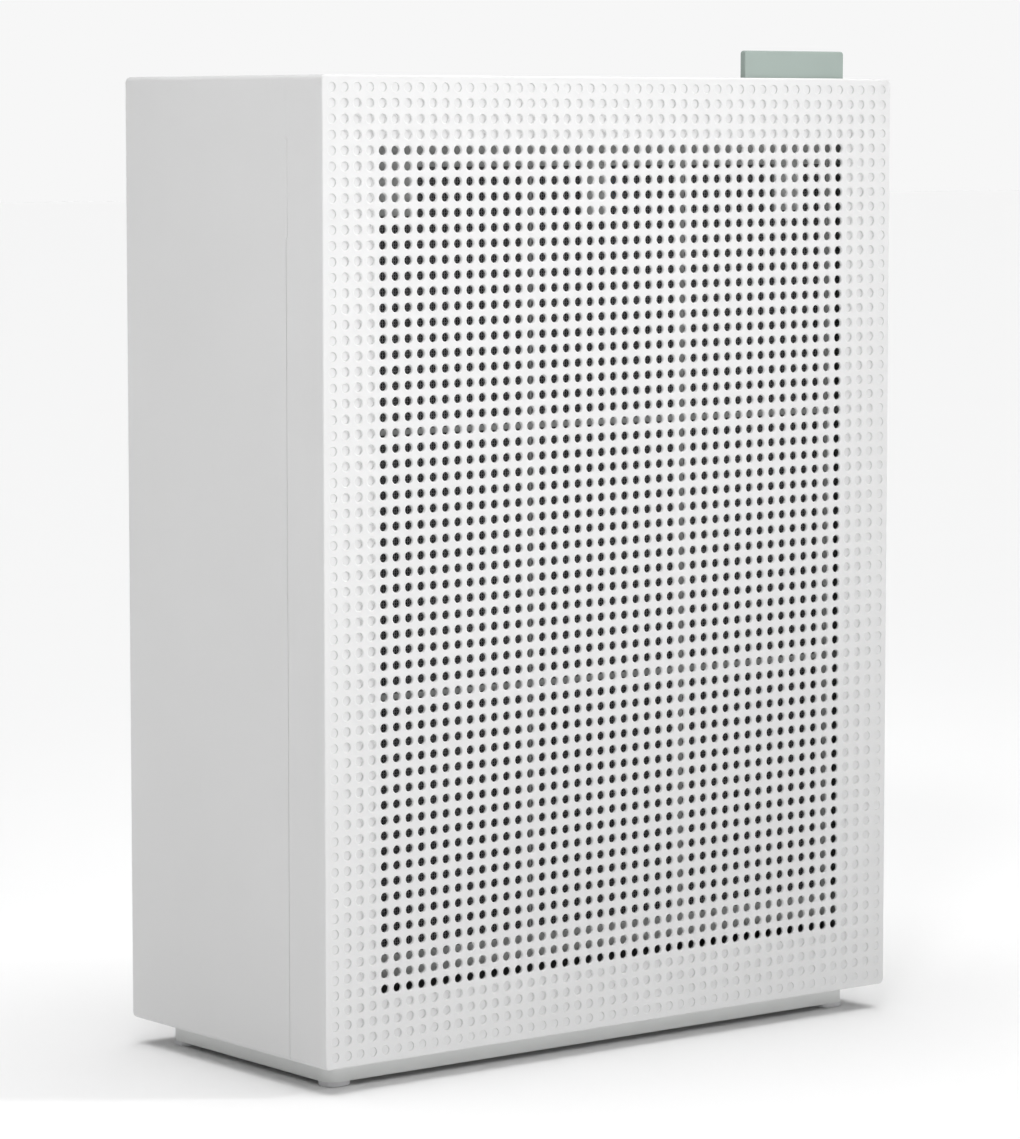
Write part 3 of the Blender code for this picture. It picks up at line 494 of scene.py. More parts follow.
def tiled_mesh(name, groups, origin, across, up):
    """Copies tiles to their places and welds them. groups holds (tile, [(a, b), ...]) pairs."""
    out = np.cross(across, up)
    basis = np.array([across, -out, up], float)
    all_points, all_loops, all_totals, all_normals = [], [], [], []
    base = 0
    for (points, faces, normals), places in groups:
        if not places:
            continue
        spots = np.array([(a, 0.0, b) for a, b in places])
        copies = (spots[:, None, :] + points[None]).reshape(-1, 3)
        flat_loops = np.array([v for f in faces for v in f])
        totals = np.array([len(f) for f in faces])
        flat_normals = np.array([n for f in normals for n in f])
        shift = base + np.arange(len(places))[:, None] * len(points)
        all_points.append(copies)
        all_loops.append((flat_loops[None] + shift).reshape(-1))
        all_totals.append(np.tile(totals, len(places)))
        all_normals.append(np.tile(flat_normals, (len(places), 1)))
        base += len(copies)
    points = np.concatenate(all_points)
    keys = np.round(points / (0.01 * MM)).astype(np.int64)
    _, first, inverse = np.unique(keys, axis=0, return_index=True, return_inverse=True)
    loops = inverse.reshape(-1)[np.concatenate(all_loops)].astype(np.int32)
    totals = np.concatenate(all_totals).astype(np.int32)
    world = points[first] @ basis + np.array(origin)
    mesh = bpy.data.meshes.new(name)
    mesh.vertices.add(len(world))
    mesh.vertices.foreach_set("co", world.astype(np.float32).reshape(-1))
    mesh.loops.add(len(loops))
    mesh.loops.foreach_set("vertex_index", loops)
    mesh.polygons.add(len(totals))
    mesh.polygons.foreach_set("loop_start", (np.cumsum(totals) - totals).astype(np.int32))
    mesh.polygons.foreach_set("use_smooth", np.ones(len(totals), bool))
    mesh.update(calc_edges=True)
    mesh.normals_split_custom_set((np.concatenate(all_normals) @ basis).tolist())
    obj = bpy.data.objects.new(name, mesh)
    bpy.context.scene.collection.objects.link(obj)
    return obj


def hang(obj, mat, body, stands_for=()):
    """Like finish_piece, for a mesh that already carries its own normals."""
    obj.data.materials.append(mat)
    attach(obj, body)
    if stands_for:
        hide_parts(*stands_for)
    print(obj.name, "rides on", body, "faces:", len(obj.data.polygons))


open_tile = dot_tile(dot_profile(HOLE_R, LIP, DOT_WALL), True, DOT_WALL, PITCH / 2)
print("one open tile:", len(open_tile[0]), "points,", len(open_tile[1]), "faces")

# %% [markdown]
# ## The dotted front
# The rings of dimples fade out towards the edge: the outermost is barely pressed in, and each ring
# inwards is a little deeper, until the fifth breaks through. The open field is made as two meshes only to
# keep each one handy.

# %% Front cover, dots
# the lip and the depth of each ring of dimples, from the edge inwards
DIMPLES = [(0.4 * MM, 0.5 * MM), (0.55 * MM, 0.75 * MM), (0.65 * MM, 0.92 * MM), (0.7 * MM, 1.02 * MM)]


def grid_places(wanted):
    places = []
    for i in range(COLUMNS):
        for j in range(ROWS):
            ring = min(i, j, COLUMNS - 1 - i, ROWS - 1 - j)
            if wanted(i, j, ring):
                places.append(((i - (COLUMNS - 1) / 2) * PITCH, (j - (ROWS - 1) / 2) * PITCH))
    return places


front_origin = (0, FRONT, MID_Z)
dimple_groups = []
for ring_number, (ring_lip, ring_depth) in enumerate(DIMPLES):
    tile = dot_tile(dot_profile(HOLE_R, ring_lip, ring_depth), False, DOT_WALL, PITCH / 2)
    dimple_groups.append((tile, grid_places(lambda i, j, ring: ring == ring_number)))
dimples = tiled_mesh("front_cover_dimples", dimple_groups, front_origin, (1, 0, 0), (0, 0, 1))
hang(dimples, white, "cover")
for part_name, upper in (("front_cover_holes_upper", True), ("front_cover_holes_lower", False)):
    places = grid_places(lambda i, j, ring: ring >= BLIND and (j > ROWS // 2) == upper)
    field = tiled_mesh(part_name, [(open_tile, places)], front_origin, (1, 0, 0), (0, 0, 1))
    hang(field, white, "cover")

# %% [markdown]
# ## The tray round the dots
# The cover is a shallow tray. Its four long edges are rounded by 2.5 mm and the edge round the front face
# only by 0.8 mm, which is why the front looks so crisp. Inside are two pairs of rails that hold the
# pre-filter, and the top is slotted to let it out. A finger groove lies over the seam on each side: the
# cover's edge rolls in to the seam there, and the casing's slopes to meet it. Below it the seam opens into
# a hairline.

# %% Front cover, tray
CORNER_R = 2.5 * MM
FRONT_EDGE = 0.8 * MM
REAR_EDGE = 2 * MM


def body_rings(outer_y, inner_y, edge_radius, steps=5):
    side = 1 if inner_y > outer_y else -1
    rings = []
    for k in range(steps + 1):
        a = math.radians(90 * k / steps)
        inset = edge_radius * (1 - math.sin(a))
        y = outer_y + side * edge_radius * (1 - math.cos(a))
        outline = rounded(-HALF_W + inset, HALF_W - inset, BOTTOM + inset, TOP - inset, CORNER_R)
        rings.append([(x, y, z) for x, z in outline])
    rings.append([(x, inner_y, z) for x, z in rounded(-HALF_W, HALF_W, BOTTOM, TOP, CORNER_R)])
    return rings


GROOVE_TOP = TOP - 27.4 * MM
GROOVE_L = 45.6 * MM
GROOVE_HALF = 2.2 * MM
GROOVE_DEEP = 1.5 * MM          # on the cover's side of the seam
GROOVE_REAR = 0.8 * MM          # on the casing's side
QUARTER = 6                     # steps in a quarter circle
SEAM_HALF = 0.22 * MM
SEAM_DEEP = 0.7 * MM
SEAM_GAP = 0.02 * MM            # keeps the two halves from touching


def groove_section(side, share, z):
    """One level of the groove: the cover's edge rounds in to the seam, the casing's is a flat slope."""
    points = [(HALF_W + MM, -GROOVE_HALF * share)]
    for k in range(QUARTER + 1):
        a = math.radians(90 * k / QUARTER)
        points.append((HALF_W - GROOVE_DEEP * share * (1 - math.cos(a)),
                       -GROOVE_HALF * share * (1 - math.sin(a))))
    points += [(HALF_W - GROOVE_REAR * share, 0.01 * MM), (HALF_W, GROOVE_HALF * share),
               (HALF_W + MM, GROOVE_HALF * share)]
    return [(side * x, SEAM + y, z) for x, y in points]


def groove_tools():
    """One tool for each side, tapering to nothing at both ends like the end of a finger."""
    bm = bmesh.new()
    straight = GROOVE_L / 2 - GROOVE_HALF
    middle_z = GROOVE_TOP - GROOVE_L / 2
    for side in (-1, 1):
        rings = []
        for k in range(-QUARTER, QUARTER + 1):
            a = math.radians(90 * k / QUARTER)
            share = max(math.cos(a), 0.02)
            for end in ((-1, 1) if k == 0 else (math.copysign(1, k),)):
                z = middle_z + end * straight + GROOVE_HALF * math.sin(a)
                rings.append(groove_section(side, share, z))
        skin(bm, rings)
    return bm


def seam_tools():
    """A hairline along the seam, from the grooves down and under the body."""
    bm = bmesh.new()
    for side in (-1, 1):
        low, high = sorted((side * (HALF_W - SEAM_DEEP), side * (HALF_W + MM)))
        add_block(bm, (low, SEAM - SEAM_HALF, BOTTOM - MM),
                  (high, SEAM + SEAM_HALF, GROOVE_TOP - GROOVE_L + MM))
    return bm


def cover_tray():
    bm = bmesh.new()
    skin(bm, body_rings(FRONT, SEAM - SEAM_GAP, FRONT_EDGE))
    tray = make_object("front_cover_tray", bm)
    cut(tray, push(rounded(-HALF_W + WALL, HALF_W - WALL, BOTTOM + WALL, TOP - WALL, MM), "y",
                   FRONT + FRONT_WALL, SEAM + MM))
    half_x = COLUMNS * PITCH / 2
    half_z = ROWS * PITCH / 2
    low_z, high_z = MID_Z - half_z, MID_Z + half_z
    window = [(-half_x, low_z), (half_x, low_z), (half_x, high_z), (-half_x, high_z)]
    cut(tray, push(window, "y", FRONT - MM, FRONT + 2 * FRONT_WALL))
    frame_low, frame_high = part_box("prefilter_frame")
    slack = 0.4 * MM
    rail = 1.8 * MM
    overlap = 2.5 * MM          # how far a rail reaches over the frame's edge
    rail_foot = frame_low.z - 5 * MM
    rail_head = TOP - 27 * MM
    bm = bmesh.new()
    for side in (-1, 1):
        low, high = sorted((side * (frame_high.x - overlap), side * (HALF_W - WALL / 2)))
        for front in (frame_low.y - slack - rail, frame_high.y + slack):
            add_block(bm, (low, front, rail_foot), (high, front + rail, rail_head))
    fuse(tray, bm)
    bm = bmesh.new()
    for side in (-1, 1):        # a stop under each lower corner of the pre-filter
        low, high = sorted((side * (frame_high.x - overlap + MM), side * (HALF_W - WALL / 2)))
        add_block(bm, (low, frame_low.y - slack - rail / 2, rail_foot + MM),
                  (high, frame_high.y + slack + rail / 2, frame_low.z - 0.3 * MM))
    fuse(tray, bm)
    slot = rounded(-frame_high.x - slack, frame_high.x + slack, frame_low.y - slack, frame_high.y + slack,
                   0.8 * MM)
    cut(tray, push(slot, "z", TOP - 2 * WALL, TOP + MM))
    cut(tray, groove_tools())
    cut(tray, seam_tools())
    finish_piece(tray, white, "cover", ["front_cover"], smooth=25)


cover_tray()

# %% [markdown]
# ## The rear casing
# A deep tub with the same rounded edges, open at the seam. The top takes the outlet grille and the touch
# panel, the back a hand recess and the mains inlet, and the right side the dust sensor's vent. Each
# opening is cut to its insert's own box plus a hair's breadth, so that a thin shadow line frames it.

# %% Casing
FIT = 0.25 * MM
BOSS_GAP = 0.6 * MM           # from the filter bay to the front of a screw boss
BOSS_R = 5.5 * MM
BOSS_BORE = 2.1 * MM


def insert_outline(node, first, second, radius, grow):
    low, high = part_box(node)
    return rounded(low[first] - grow, high[first] + grow, low[second] - grow, high[second] + grow, radius)


def rear_casing():
    bm = bmesh.new()
    skin(bm, body_rings(BACK, SEAM + SEAM_GAP, REAR_EDGE))
    casing = make_object("rear_casing_shell", bm)
    cut(casing, push(rounded(-HALF_W + WALL, HALF_W - WALL, BOTTOM + WALL, TOP - WALL, MM), "y",
                     SEAM - MM, BACK - WALL))
    cut(casing, push(insert_outline("outlet_grille", 0, 1, 4 * MM, FIT), "z", TOP - 2 * WALL, TOP + MM))
    cut(casing, push(insert_outline("control_panel", 0, 1, 4 * MM, FIT), "z", TOP - 2 * WALL, TOP + MM))
    cut(casing, push(insert_outline("handle_cup", 0, 2, 6 * MM, FIT), "y", BACK - 2 * WALL, BACK + MM))
    cut(casing, push(insert_outline("power_inlet", 0, 2, 3 * MM, FIT), "y", BACK - 2 * WALL, BACK + MM))
    cut(casing, push(insert_outline("sensor_cover", 1, 2, 3 * MM, FIT), "x", HALF_W - 2 * WALL, HALF_W + MM))
    break_edges(casing, 0.35 * MM, 2, 50)
    bosses = bmesh.new()
    boss_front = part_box("filter_bay")[1].y + BOSS_GAP
    boss_back = BACK - WALL / 2
    boss = [(BOSS_BORE, boss_front), (BOSS_R, boss_front), (BOSS_R, boss_back), (BOSS_BORE, boss_back)]
    for x, z in bay_screw_places():
        add_turned(bosses, boss, x, z, 24)
    fuse(casing, bosses)
    cut(casing, groove_tools())
    cut(casing, seam_tools())
    finish_piece(casing, white, "casing", ["rear_casing"], smooth=25)


def bay_screw_places():
    places = []
    for number in (1, 2, 3, 4):
        low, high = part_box("bay_screw_%d" % number)
        places.append(((low.x + high.x) / 2, (low.z + high.z) / 2))
    return places


rear_casing()

# %% [markdown]
# ## More finishes
# The rest of the purifier is made of net, paper, carbon, foam, ribbon, board and metal. Each has one thing
# that gives it away: the crossing threads of a ribbon, the grains of carbon, the brushed line of a screw.

# %% Finishes of the inner pieces
def woven(name, colour, thread):
    """Ribbon: two sets of crossing threads, one over the other. A wave repeats every 0.314 / scale."""
    mat, tree, shader, where = start_material(name, 0.75)
    heights = []
    for direction in ('X', 'Z'):
        wave = tree.nodes.new("ShaderNodeTexWave")
        wave.bands_direction = direction
        wave.inputs["Scale"].default_value = 0.314 / thread
        wave.inputs["Distortion"].default_value = 0.4
        tree.links.new(where, wave.inputs["Vector"])
        heights.append(wave.outputs["Fac"])
    over = tree.nodes.new("ShaderNodeMath")
    over.operation = 'MAXIMUM'
    for socket, height in zip(over.inputs, heights):
        tree.links.new(height, socket)
    # painted shade: the colour falls to 55 % in the gaps between the threads, where both waves are low
    tint = blend_colour(tree, over.outputs["Value"], [c * 0.55 for c in colour], colour)
    tree.links.new(tint, shader.inputs["Base Color"])
    bump(tree, shader, over.outputs["Value"], 0.6, 0.1 * MM)
    return mat


def grainy(name, dark, light, grain, roughness, depth):
    """Crushed or foamed stuff: cells of one size, each lighter in its middle and darker towards its edge."""
    mat, tree, shader, where = start_material(name, roughness)
    cells = tree.nodes.new("ShaderNodeTexVoronoi")
    cells.inputs["Scale"].default_value = 1 / grain
    tree.links.new(where, cells.inputs["Vector"])
    tint = blend_colour(tree, cells.outputs["Distance"], light, dark)
    tree.links.new(tint, shader.inputs["Base Color"])
    bump(tree, shader, cells.outputs["Distance"], 0.7, depth)
    return mat


def metal(name, colour, roughness, stretch):
    """Plated or painted steel with a faint brushed direction."""
    mat, tree, shader, where = start_material(name, roughness)
    shader.inputs["Metallic"].default_value = 1.0
    shader.inputs["Base Color"].default_value = (*colour, 1)
    mapping = tree.nodes.new("ShaderNodeMapping")
    mapping.inputs["Scale"].default_value = stretch
    tree.links.new(where, mapping.inputs["Vector"])
    lines = noise(tree, mapping.outputs["Vector"], 60, 6)
    tree.links.new(spread(tree, lines, roughness - 0.08, roughness + 0.12), shader.inputs["Roughness"])
    bump(tree, shader, lines, 0.25, 0.02 * MM)
    return mat


def filter_paper(name):
    mat, tree, shader, where = start_material(name, 0.92)
    fibres = noise(tree, where, 900, 8)
    tint = blend_colour(tree, fibres, (0.76, 0.76, 0.74), (0.88, 0.88, 0.86))
    tree.links.new(tint, shader.inputs["Base Color"])
    bump(tree, shader, fibres, 0.5, 0.06 * MM)
    return mat


def circuit_board(name):
    """Green lacquer over copper: the tracks show as slightly lighter bands with square turns."""
    mat, tree, shader, where = start_material(name, 0.38)
    tracks = tree.nodes.new("ShaderNodeTexBrick")
    tracks.inputs["Scale"].default_value = 160
    tracks.inputs["Mortar Size"].default_value = 0.12
    tracks.inputs["Color1"].default_value = (0.010, 0.095, 0.035, 1)
    tracks.inputs["Color2"].default_value = (0.013, 0.120, 0.045, 1)
    tracks.inputs["Mortar"].default_value = (0.030, 0.190, 0.070, 1)
    tree.links.new(where, tracks.inputs["Vector"])
    tree.links.new(tracks.outputs["Color"], shader.inputs["Base Color"])
    bump(tree, shader, tracks.outputs["Fac"], 0.4, 0.04 * MM)
    return mat


def glossy_panel(name, colour):
    mat, tree, shader, where = start_material(name, 0.12)
    shader.inputs["Coat Weight"].default_value = 0.6
    shader.inputs["Coat Roughness"].default_value = 0.05
    haze = noise(tree, where, 30, 3)
    tree.links.new(blend_colour(tree, haze, [c * 0.985 for c in colour], colour), shader.inputs["Base Color"])
    tree.links.new(spread(tree, haze, 0.10, 0.16), shader.inputs["Roughness"])
    return mat


net_black = moulded("net_nylon", (0.30, 0.30, 0.305), 0.55, grain=0.2 * MM, drift=0.3)
carbon = grainy("carbon_grains", (0.006, 0.006, 0.006), (0.035, 0.035, 0.036), 0.7 * MM, 0.85, 0.25 * MM)
foam = grainy("gasket_foam", (0.05, 0.05, 0.05), (0.13, 0.13, 0.13), 0.4 * MM, 0.95, 0.2 * MM)
ribbon_blue = woven("pull_ribbon", (0.16, 0.34, 0.48), 0.5 * MM)
paper = filter_paper("pleated_paper")
panel_white = glossy_panel("touch_panel", (0.80, 0.80, 0.80))
board_green = circuit_board("board_lacquer")
zinc = metal("zinc_plated", (0.62, 0.62, 0.64), 0.34, (1, 1, 14))
motor_black = metal("motor_paint", (0.06, 0.06, 0.065), 0.45, (1, 10, 1))
rubber = moulded("soft_rubber", (0.030, 0.030, 0.030), 0.8, grain=0.3 * MM, drift=0.25)
foot_grey = moulded("foot_rubber_grey", (0.74, 0.74, 0.75), 0.75, grain=0.4 * MM, drift=0.08)
printed_grey = moulded("printed_marks", (0.30, 0.31, 0.32), 0.4, grain=0.2 * MM)
print("finishes so far:", len(bpy.data.materials))

# %% [markdown]
# ## The stand
# A plain slab set back under the body, so that the purifier seems to float a finger's width off the
# table, with a flat foot at each corner. Only its rim and the feet catch any light.

# %% Stand and feet
def slab(name, node, radius, edge, mat):
    low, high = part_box(node)
    bm = push(rounded(low.x, high.x, low.y, high.y, radius, 8), "z", low.z, high.z)
    obj = make_object(name, bm)
    break_edges(obj, edge, 3, 50)
    finish_piece(obj, mat, "casing", [node])


def foot(name, node):
    """A pad that goes on from the slab's own sides, with only its lower edge rounded."""
    low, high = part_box(node)
    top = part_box("base_plinth")[0].z
    rings = []
    for inset, z in ((0.6 * MM, 0), (0.2 * MM, 0.15 * MM), (0, 0.6 * MM), (0, top)):
        outline = rounded(low.x + inset, high.x - inset, low.y + inset, high.y - inset, 5 * MM, 8)
        rings.append([(x, y, z) for x, y in outline])
    bm = bmesh.new()
    skin(bm, rings)
    finish_piece(make_object(name, bm), foot_grey, "casing", [node])


slab("stand_slab", "base_plinth", 6 * MM, 0.1 * MM, pale_grey)
for corner in ("front_left", "front_right", "rear_left", "rear_right"):
    foot("foot_pad_" + corner, "foot_" + corner)

# %% [markdown]
# ## The pre-filter and its tab
# A pale frame with two ribs across and four down, and a tall band at the top that closes the slot in the
# cover. A sage tab is moulded onto the band at the right and stands out of the slot, so that the one piece
# meant for fingers is the one that is coloured. The net is welded to the frame's back. Three small lugs
# hang from the band to stiffen it; they can be made out through the dots.

# %% Pre-filter frame
RIB_W = 2.5 * MM
# the place and the width of each upright rib
RIBS_UP = [(-137.25 * MM, RIB_W), (-45.75 * MM, 1.2 * MM), (45.2 * MM, RIB_W), (137.25 * MM, RIB_W)]
RIBS_ACROSS = [177 * MM, 297 * MM]
SILL = 59 * MM
LINTEL = 416 * MM
# the place, width and height of each lug
LUGS = [(-122 * MM, 24 * MM, 22 * MM), (-7 * MM, 14 * MM, 24 * MM), (112 * MM, 18 * MM, 22 * MM)]
SIDE_BAR = 3 * MM
TAB_X0 = 84 * MM
TAB_X1 = 147 * MM


def prefilter_frame():
    low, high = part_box("prefilter_frame")
    front, back = low.y, high.y
    band_top = TOP - 0.6 * MM
    outline = [(low.x, low.z), (high.x, low.z), (high.x, band_top), (low.x, band_top)]
    frame_piece = make_object("prefilter_ribs", push(outline, "y", front, back))
    rebate_front = front + 2.2 * MM     # the net lies in a rebate behind this plane
    windows = bmesh.new()
    lefts = [low.x + SIDE_BAR] + [x + wide / 2 for x, wide in RIBS_UP]
    rights = [x - wide / 2 for x, wide in RIBS_UP] + [high.x - SIDE_BAR]
    lows = [SILL] + [z + RIB_W / 2 for z in RIBS_ACROSS]
    highs = [z - RIB_W / 2 for z in RIBS_ACROSS] + [LINTEL]
    for left, right in zip(lefts, rights):
        for bottom, top in zip(lows, highs):
            add_block(windows, (left, front - MM, bottom), (right, back + MM, top))
    cut(frame_piece, windows)
    rebate = bmesh.new()
    add_block(rebate, (low.x + SIDE_BAR, rebate_front, SILL), (high.x - SIDE_BAR, back + MM, LINTEL))
    cut(frame_piece, rebate)
    lugs = bmesh.new()
    for x, wide, tall in LUGS:
        add_block(lugs, (x - wide / 2, front + 0.3 * MM, LINTEL - tall),
                  (x + wide / 2, front + 2 * MM, LINTEL + MM))
    fuse(frame_piece, lugs)
    foot_of_tab = band_top - 18 * MM
    bed = [(TAB_X0, foot_of_tab), (TAB_X1, foot_of_tab), (TAB_X1, band_top + MM), (TAB_X0, band_top + MM)]
    cut(frame_piece, push(bed, "y", front - MM, back + MM))
    break_edges(frame_piece, 0.3 * MM, 2, 50)
    finish_piece(frame_piece, rib_grey, "prefilter", ["prefilter_frame"])
    hair = 0.03 * MM
    outline = rounded(TAB_X0 + hair, TAB_X1 - hair, foot_of_tab + hair, high.z, 1.6 * MM, 5)
    tab = make_object("prefilter_tab", push(outline, "y", front, back))
    break_edges(tab, 0.45 * MM, 3, 50)
    finish_piece(tab, sage, "prefilter")


prefilter_frame()

# %% [markdown]
# ## The net
# A real net is threads, not a dark sheet: up close the light goes through it. Straight threads in two
# layers, each a thin square bar, give the right look with far fewer points than woven ones would need.

# %% Net
def net():
    low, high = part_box("prefilter_mesh")
    step = 1.25 * MM
    thread = 0.4 * MM
    middle_y = (low.y + high.y) / 2
    bm = bmesh.new()
    count_x = int((high.x - low.x) / step)
    for k in range(count_x + 1):
        x = low.x + thread + (high.x - low.x - 2 * thread) * k / count_x
        add_block(bm, (x - thread / 2, middle_y - thread, low.z), (x + thread / 2, middle_y, high.z))
    count_z = int((high.z - low.z) / step)
    for k in range(count_z + 1):
        z = low.z + thread + (high.z - low.z - 2 * thread) * k / count_z
        add_block(bm, (low.x, middle_y, z - thread / 2), (high.x, middle_y + thread, z + thread / 2))
    finish_piece(make_object("prefilter_net", bm), net_black, "prefilter", ["prefilter_mesh"])


net()

# %% [markdown]
# ## The deodorising filter
# A shallow black tray of hexagonal cells, each packed with carbon grains and open from front to back. The
# same tile idea as the dots serves here, with six corners in place of eight and straight walls.

# %% Deodorising filter
def square_frame(name, node, bar, edge, mat, body):
    low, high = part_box(node)
    bm = bmesh.new()
    rings = []
    for inset, y in ((0, low.y), (0, high.y), (bar, high.y), (bar, low.y)):
        rings.append([(low.x + inset, y, low.z + inset), (high.x - inset, y, low.z + inset),
                      (high.x - inset, y, high.z - inset), (low.x + inset, y, high.z - inset)])
    skin(bm, rings, closed=True)
    obj = make_object(name, bm)
    break_edges(obj, edge, 3, 50)
    finish_piece(obj, mat, body, [node])


def honeycomb():
    low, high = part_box("carbon_honeycomb")
    across = 6.4 * MM
    wall = 0.9 * MM
    row_step = across * math.sqrt(3) / 2
    thick = high.y - low.y
    reach = (across - wall) / math.sqrt(3)
    cell = dot_tile([(reach, 0, 0.0), (reach, thick, math.radians(90))],
                    True, thick, across / 2, corners=6, steps=6, turn=math.radians(30))
    places = []
    rows = int((high.z - low.z - across) / row_step)
    columns = int((high.x - low.x - across * 1.5) / across)
    for j in range(rows + 1):
        for i in range(columns + 1):
            a = (i - columns / 2) * across + (across / 4 if j % 2 else -across / 4)
            places.append((a, (j - rows / 2) * row_step))
    obj = tiled_mesh("carbon_cells", [(cell, places)], (0, low.y, (low.z + high.z) / 2), (1, 0, 0), (0, 0, 1))
    obj.data.shade_flat()
    hang(obj, carbon, "deodorising_filter", ["carbon_honeycomb"])
    backing = bmesh.new()
    add_block(backing, (low.x, high.y - 0.1 * MM, low.z), (high.x, high.y + 0.3 * MM, high.z))
    finish_piece(make_object("carbon_scrim", backing), net_black, "deodorising_filter")


def pull_ribbon(name, node, body):
    """A flat strip with a folded hem at its lower end."""
    low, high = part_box(node)
    inset = 0.4 * MM
    hem_top = low.z + 6 * MM
    bm = bmesh.new()
    outline = rounded(low.x, high.x, low.z, high.z, 1.2 * MM, 4)
    add_push(bm, outline, "y", low.y + 0.15 * MM, high.y - 0.1 * MM)
    add_block(bm, (low.x + inset, low.y, low.z + inset), (high.x - inset, low.y + 0.1 * MM, hem_top))
    finish_piece(make_object(name, bm), ribbon_blue, body, [node])


square_frame("deodorising_tray", "deodorising_frame", 6 * MM, 0.5 * MM, charcoal,
              "deodorising_filter")
honeycomb()
pull_ribbon("deodorising_ribbon", "deodorising_pull_tab", "deodorising_filter")

# %% [markdown]
# ## The fine filter
# Filter paper is folded like an accordion, with round tips, and lines of glue hold the folds apart. The
# fold is one zigzag line with three points at each tip, doubled to give the paper its thickness.

# %% Fine filter
PLEATS = 36


def pleat_line(low, high, near, far, lift):
    pitch = (high.x - low.x) / PLEATS
    tip = 0.9 * MM
    line = []
    for k in range(2 * PLEATS + 1):
        x = low.x + pitch * k / 2
        y = near if k % 2 else far
        inward = tip if k % 2 else -tip
        if k > 0:
            line.append((x - tip / 2, y + inward / 2 + lift))
        line.append((x, y + lift))
        if k < 2 * PLEATS:
            line.append((x + tip / 2, y + inward / 2 + lift))
    return line


def pleats():
    low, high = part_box("hepa_pleats")
    sheet = 1.1 * MM
    front = pleat_line(low, high, low.y, high.y - sheet, 0)
    back = pleat_line(low, high, low.y, high.y - sheet, sheet)
    obj = make_object("fine_filter_paper", push(front + back[::-1], "z", low.z, high.z))
    finish_piece(obj, paper, "hepa_filter", ["hepa_pleats"], smooth=60)
    beads = bmesh.new()
    lines = 9
    for k in range(lines):
        z = low.z + (high.z - low.z) * (k + 0.5) / lines
        bead = pleat_line(low, high, low.y, high.y - sheet, -0.35 * MM)
        add_push(beads, bead + front[::-1], "z", z - 0.8 * MM, z + 0.8 * MM)
    finish_piece(make_object("fine_filter_glue_lines", beads), panel_white, "hepa_filter", smooth=60)


square_frame("fine_filter_frame", "hepa_frame", 7 * MM, 0.6 * MM, white, "hepa_filter")
square_frame("fine_filter_gasket", "hepa_gasket", 5 * MM, 0.4 * MM, foam, "hepa_filter")
pleats()
pull_ribbon("fine_filter_ribbon", "hepa_pull_tab", "hepa_filter")

# %% [markdown]
# ## The outlet grille and the sensor's vent
# The outlet repeats the dots of the front, so the whole purifier speaks one language, and the dust
# sensor's vent is a small patch of the same. Each is a rim with a window, filled with dot tiles that go
# straight through, so one function makes both.

# %% Outlet grille and sensor vent
VENT_R = 1.8 * MM
VENT_LIP = 0.4 * MM


def dotted_insert(name, node, columns, rows, across, up, corner):
    """A plate let into the casing: a plain rim round a field of small holes, facing along one axis."""
    low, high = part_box(node)
    facing = 3 - across - up
    axis = "xyz"[facing]
    middle = (low + high) / 2
    middle[facing] = high[facing]
    half_a, half_b = columns * PITCH / 2, rows * PITCH / 2
    a, b = middle[across], middle[up]
    field = [(a - half_a, b - half_b), (a + half_a, b - half_b),
             (a + half_a, b + half_b), (a - half_a, b + half_b)]
    outline = rounded(low[across], high[across], low[up], high[up], corner)
    rim = make_object(name + "_rim", push(outline, axis, low[facing], high[facing]))
    break_edges(rim, 0.3 * MM, 2, 60)
    cut(rim, push(field, axis, low[facing] - MM, high[facing] + MM))
    finish_piece(rim, white, "casing", [node])
    thick = high[facing] - low[facing]
    tile = dot_tile(dot_profile(VENT_R, VENT_LIP, thick), True, thick, PITCH / 2)
    places = [((i - (columns - 1) / 2) * PITCH, (j - (rows - 1) / 2) * PITCH)
              for i in range(columns) for j in range(rows)]
    unit = np.eye(3)
    dots = tiled_mesh(name + "_dots", [(tile, places)], tuple(middle), unit[across], unit[up])
    hang(dots, white, "casing")


dotted_insert("outlet_grille", "outlet_grille", 36, 7, 0, 1, 3.7 * MM)
dotted_insert("sensor_vent", "sensor_cover", 2, 5, 1, 2, 2.7 * MM)

# %% [markdown]
# ## The touch panel
# A gloss strip with plain printed signs for power, fan speed, night, timer and filters. Real signs are ink
# a few hundredths of a millimetre thick. Thin raised shapes do the same without a picture file, and stay
# sharp from any distance.

# %% Touch panel with its printed signs
MARK_HIGH = 0.03 * MM
SIGN_R = 3.2 * MM
LINE = 0.3 * MM


def ring_mark(bm, x, y, outer, inner, z, start=0, end=360, steps=40):
    """A flat ring, or part of one, standing a hair above the panel."""
    outside = arc(x, y, outer, start, end, steps)
    inside = arc(x, y, inner, start, end, steps)
    if end - start == 360:
        corners = [(outside, z), (outside, z + MARK_HIGH), (inside, z + MARK_HIGH), (inside, z)]
        skin(bm, [[(a, b, level) for a, b in outline[:-1]] for outline, level in corners], closed=True)
    else:
        add_push(bm, outside + inside[::-1], "z", z, z + MARK_HIGH)


def bar_mark(bm, x0, x1, y0, y1, z):
    add_push(bm, [(x0, y0), (x1, y0), (x1, y1), (x0, y1)], "z", z, z + MARK_HIGH)


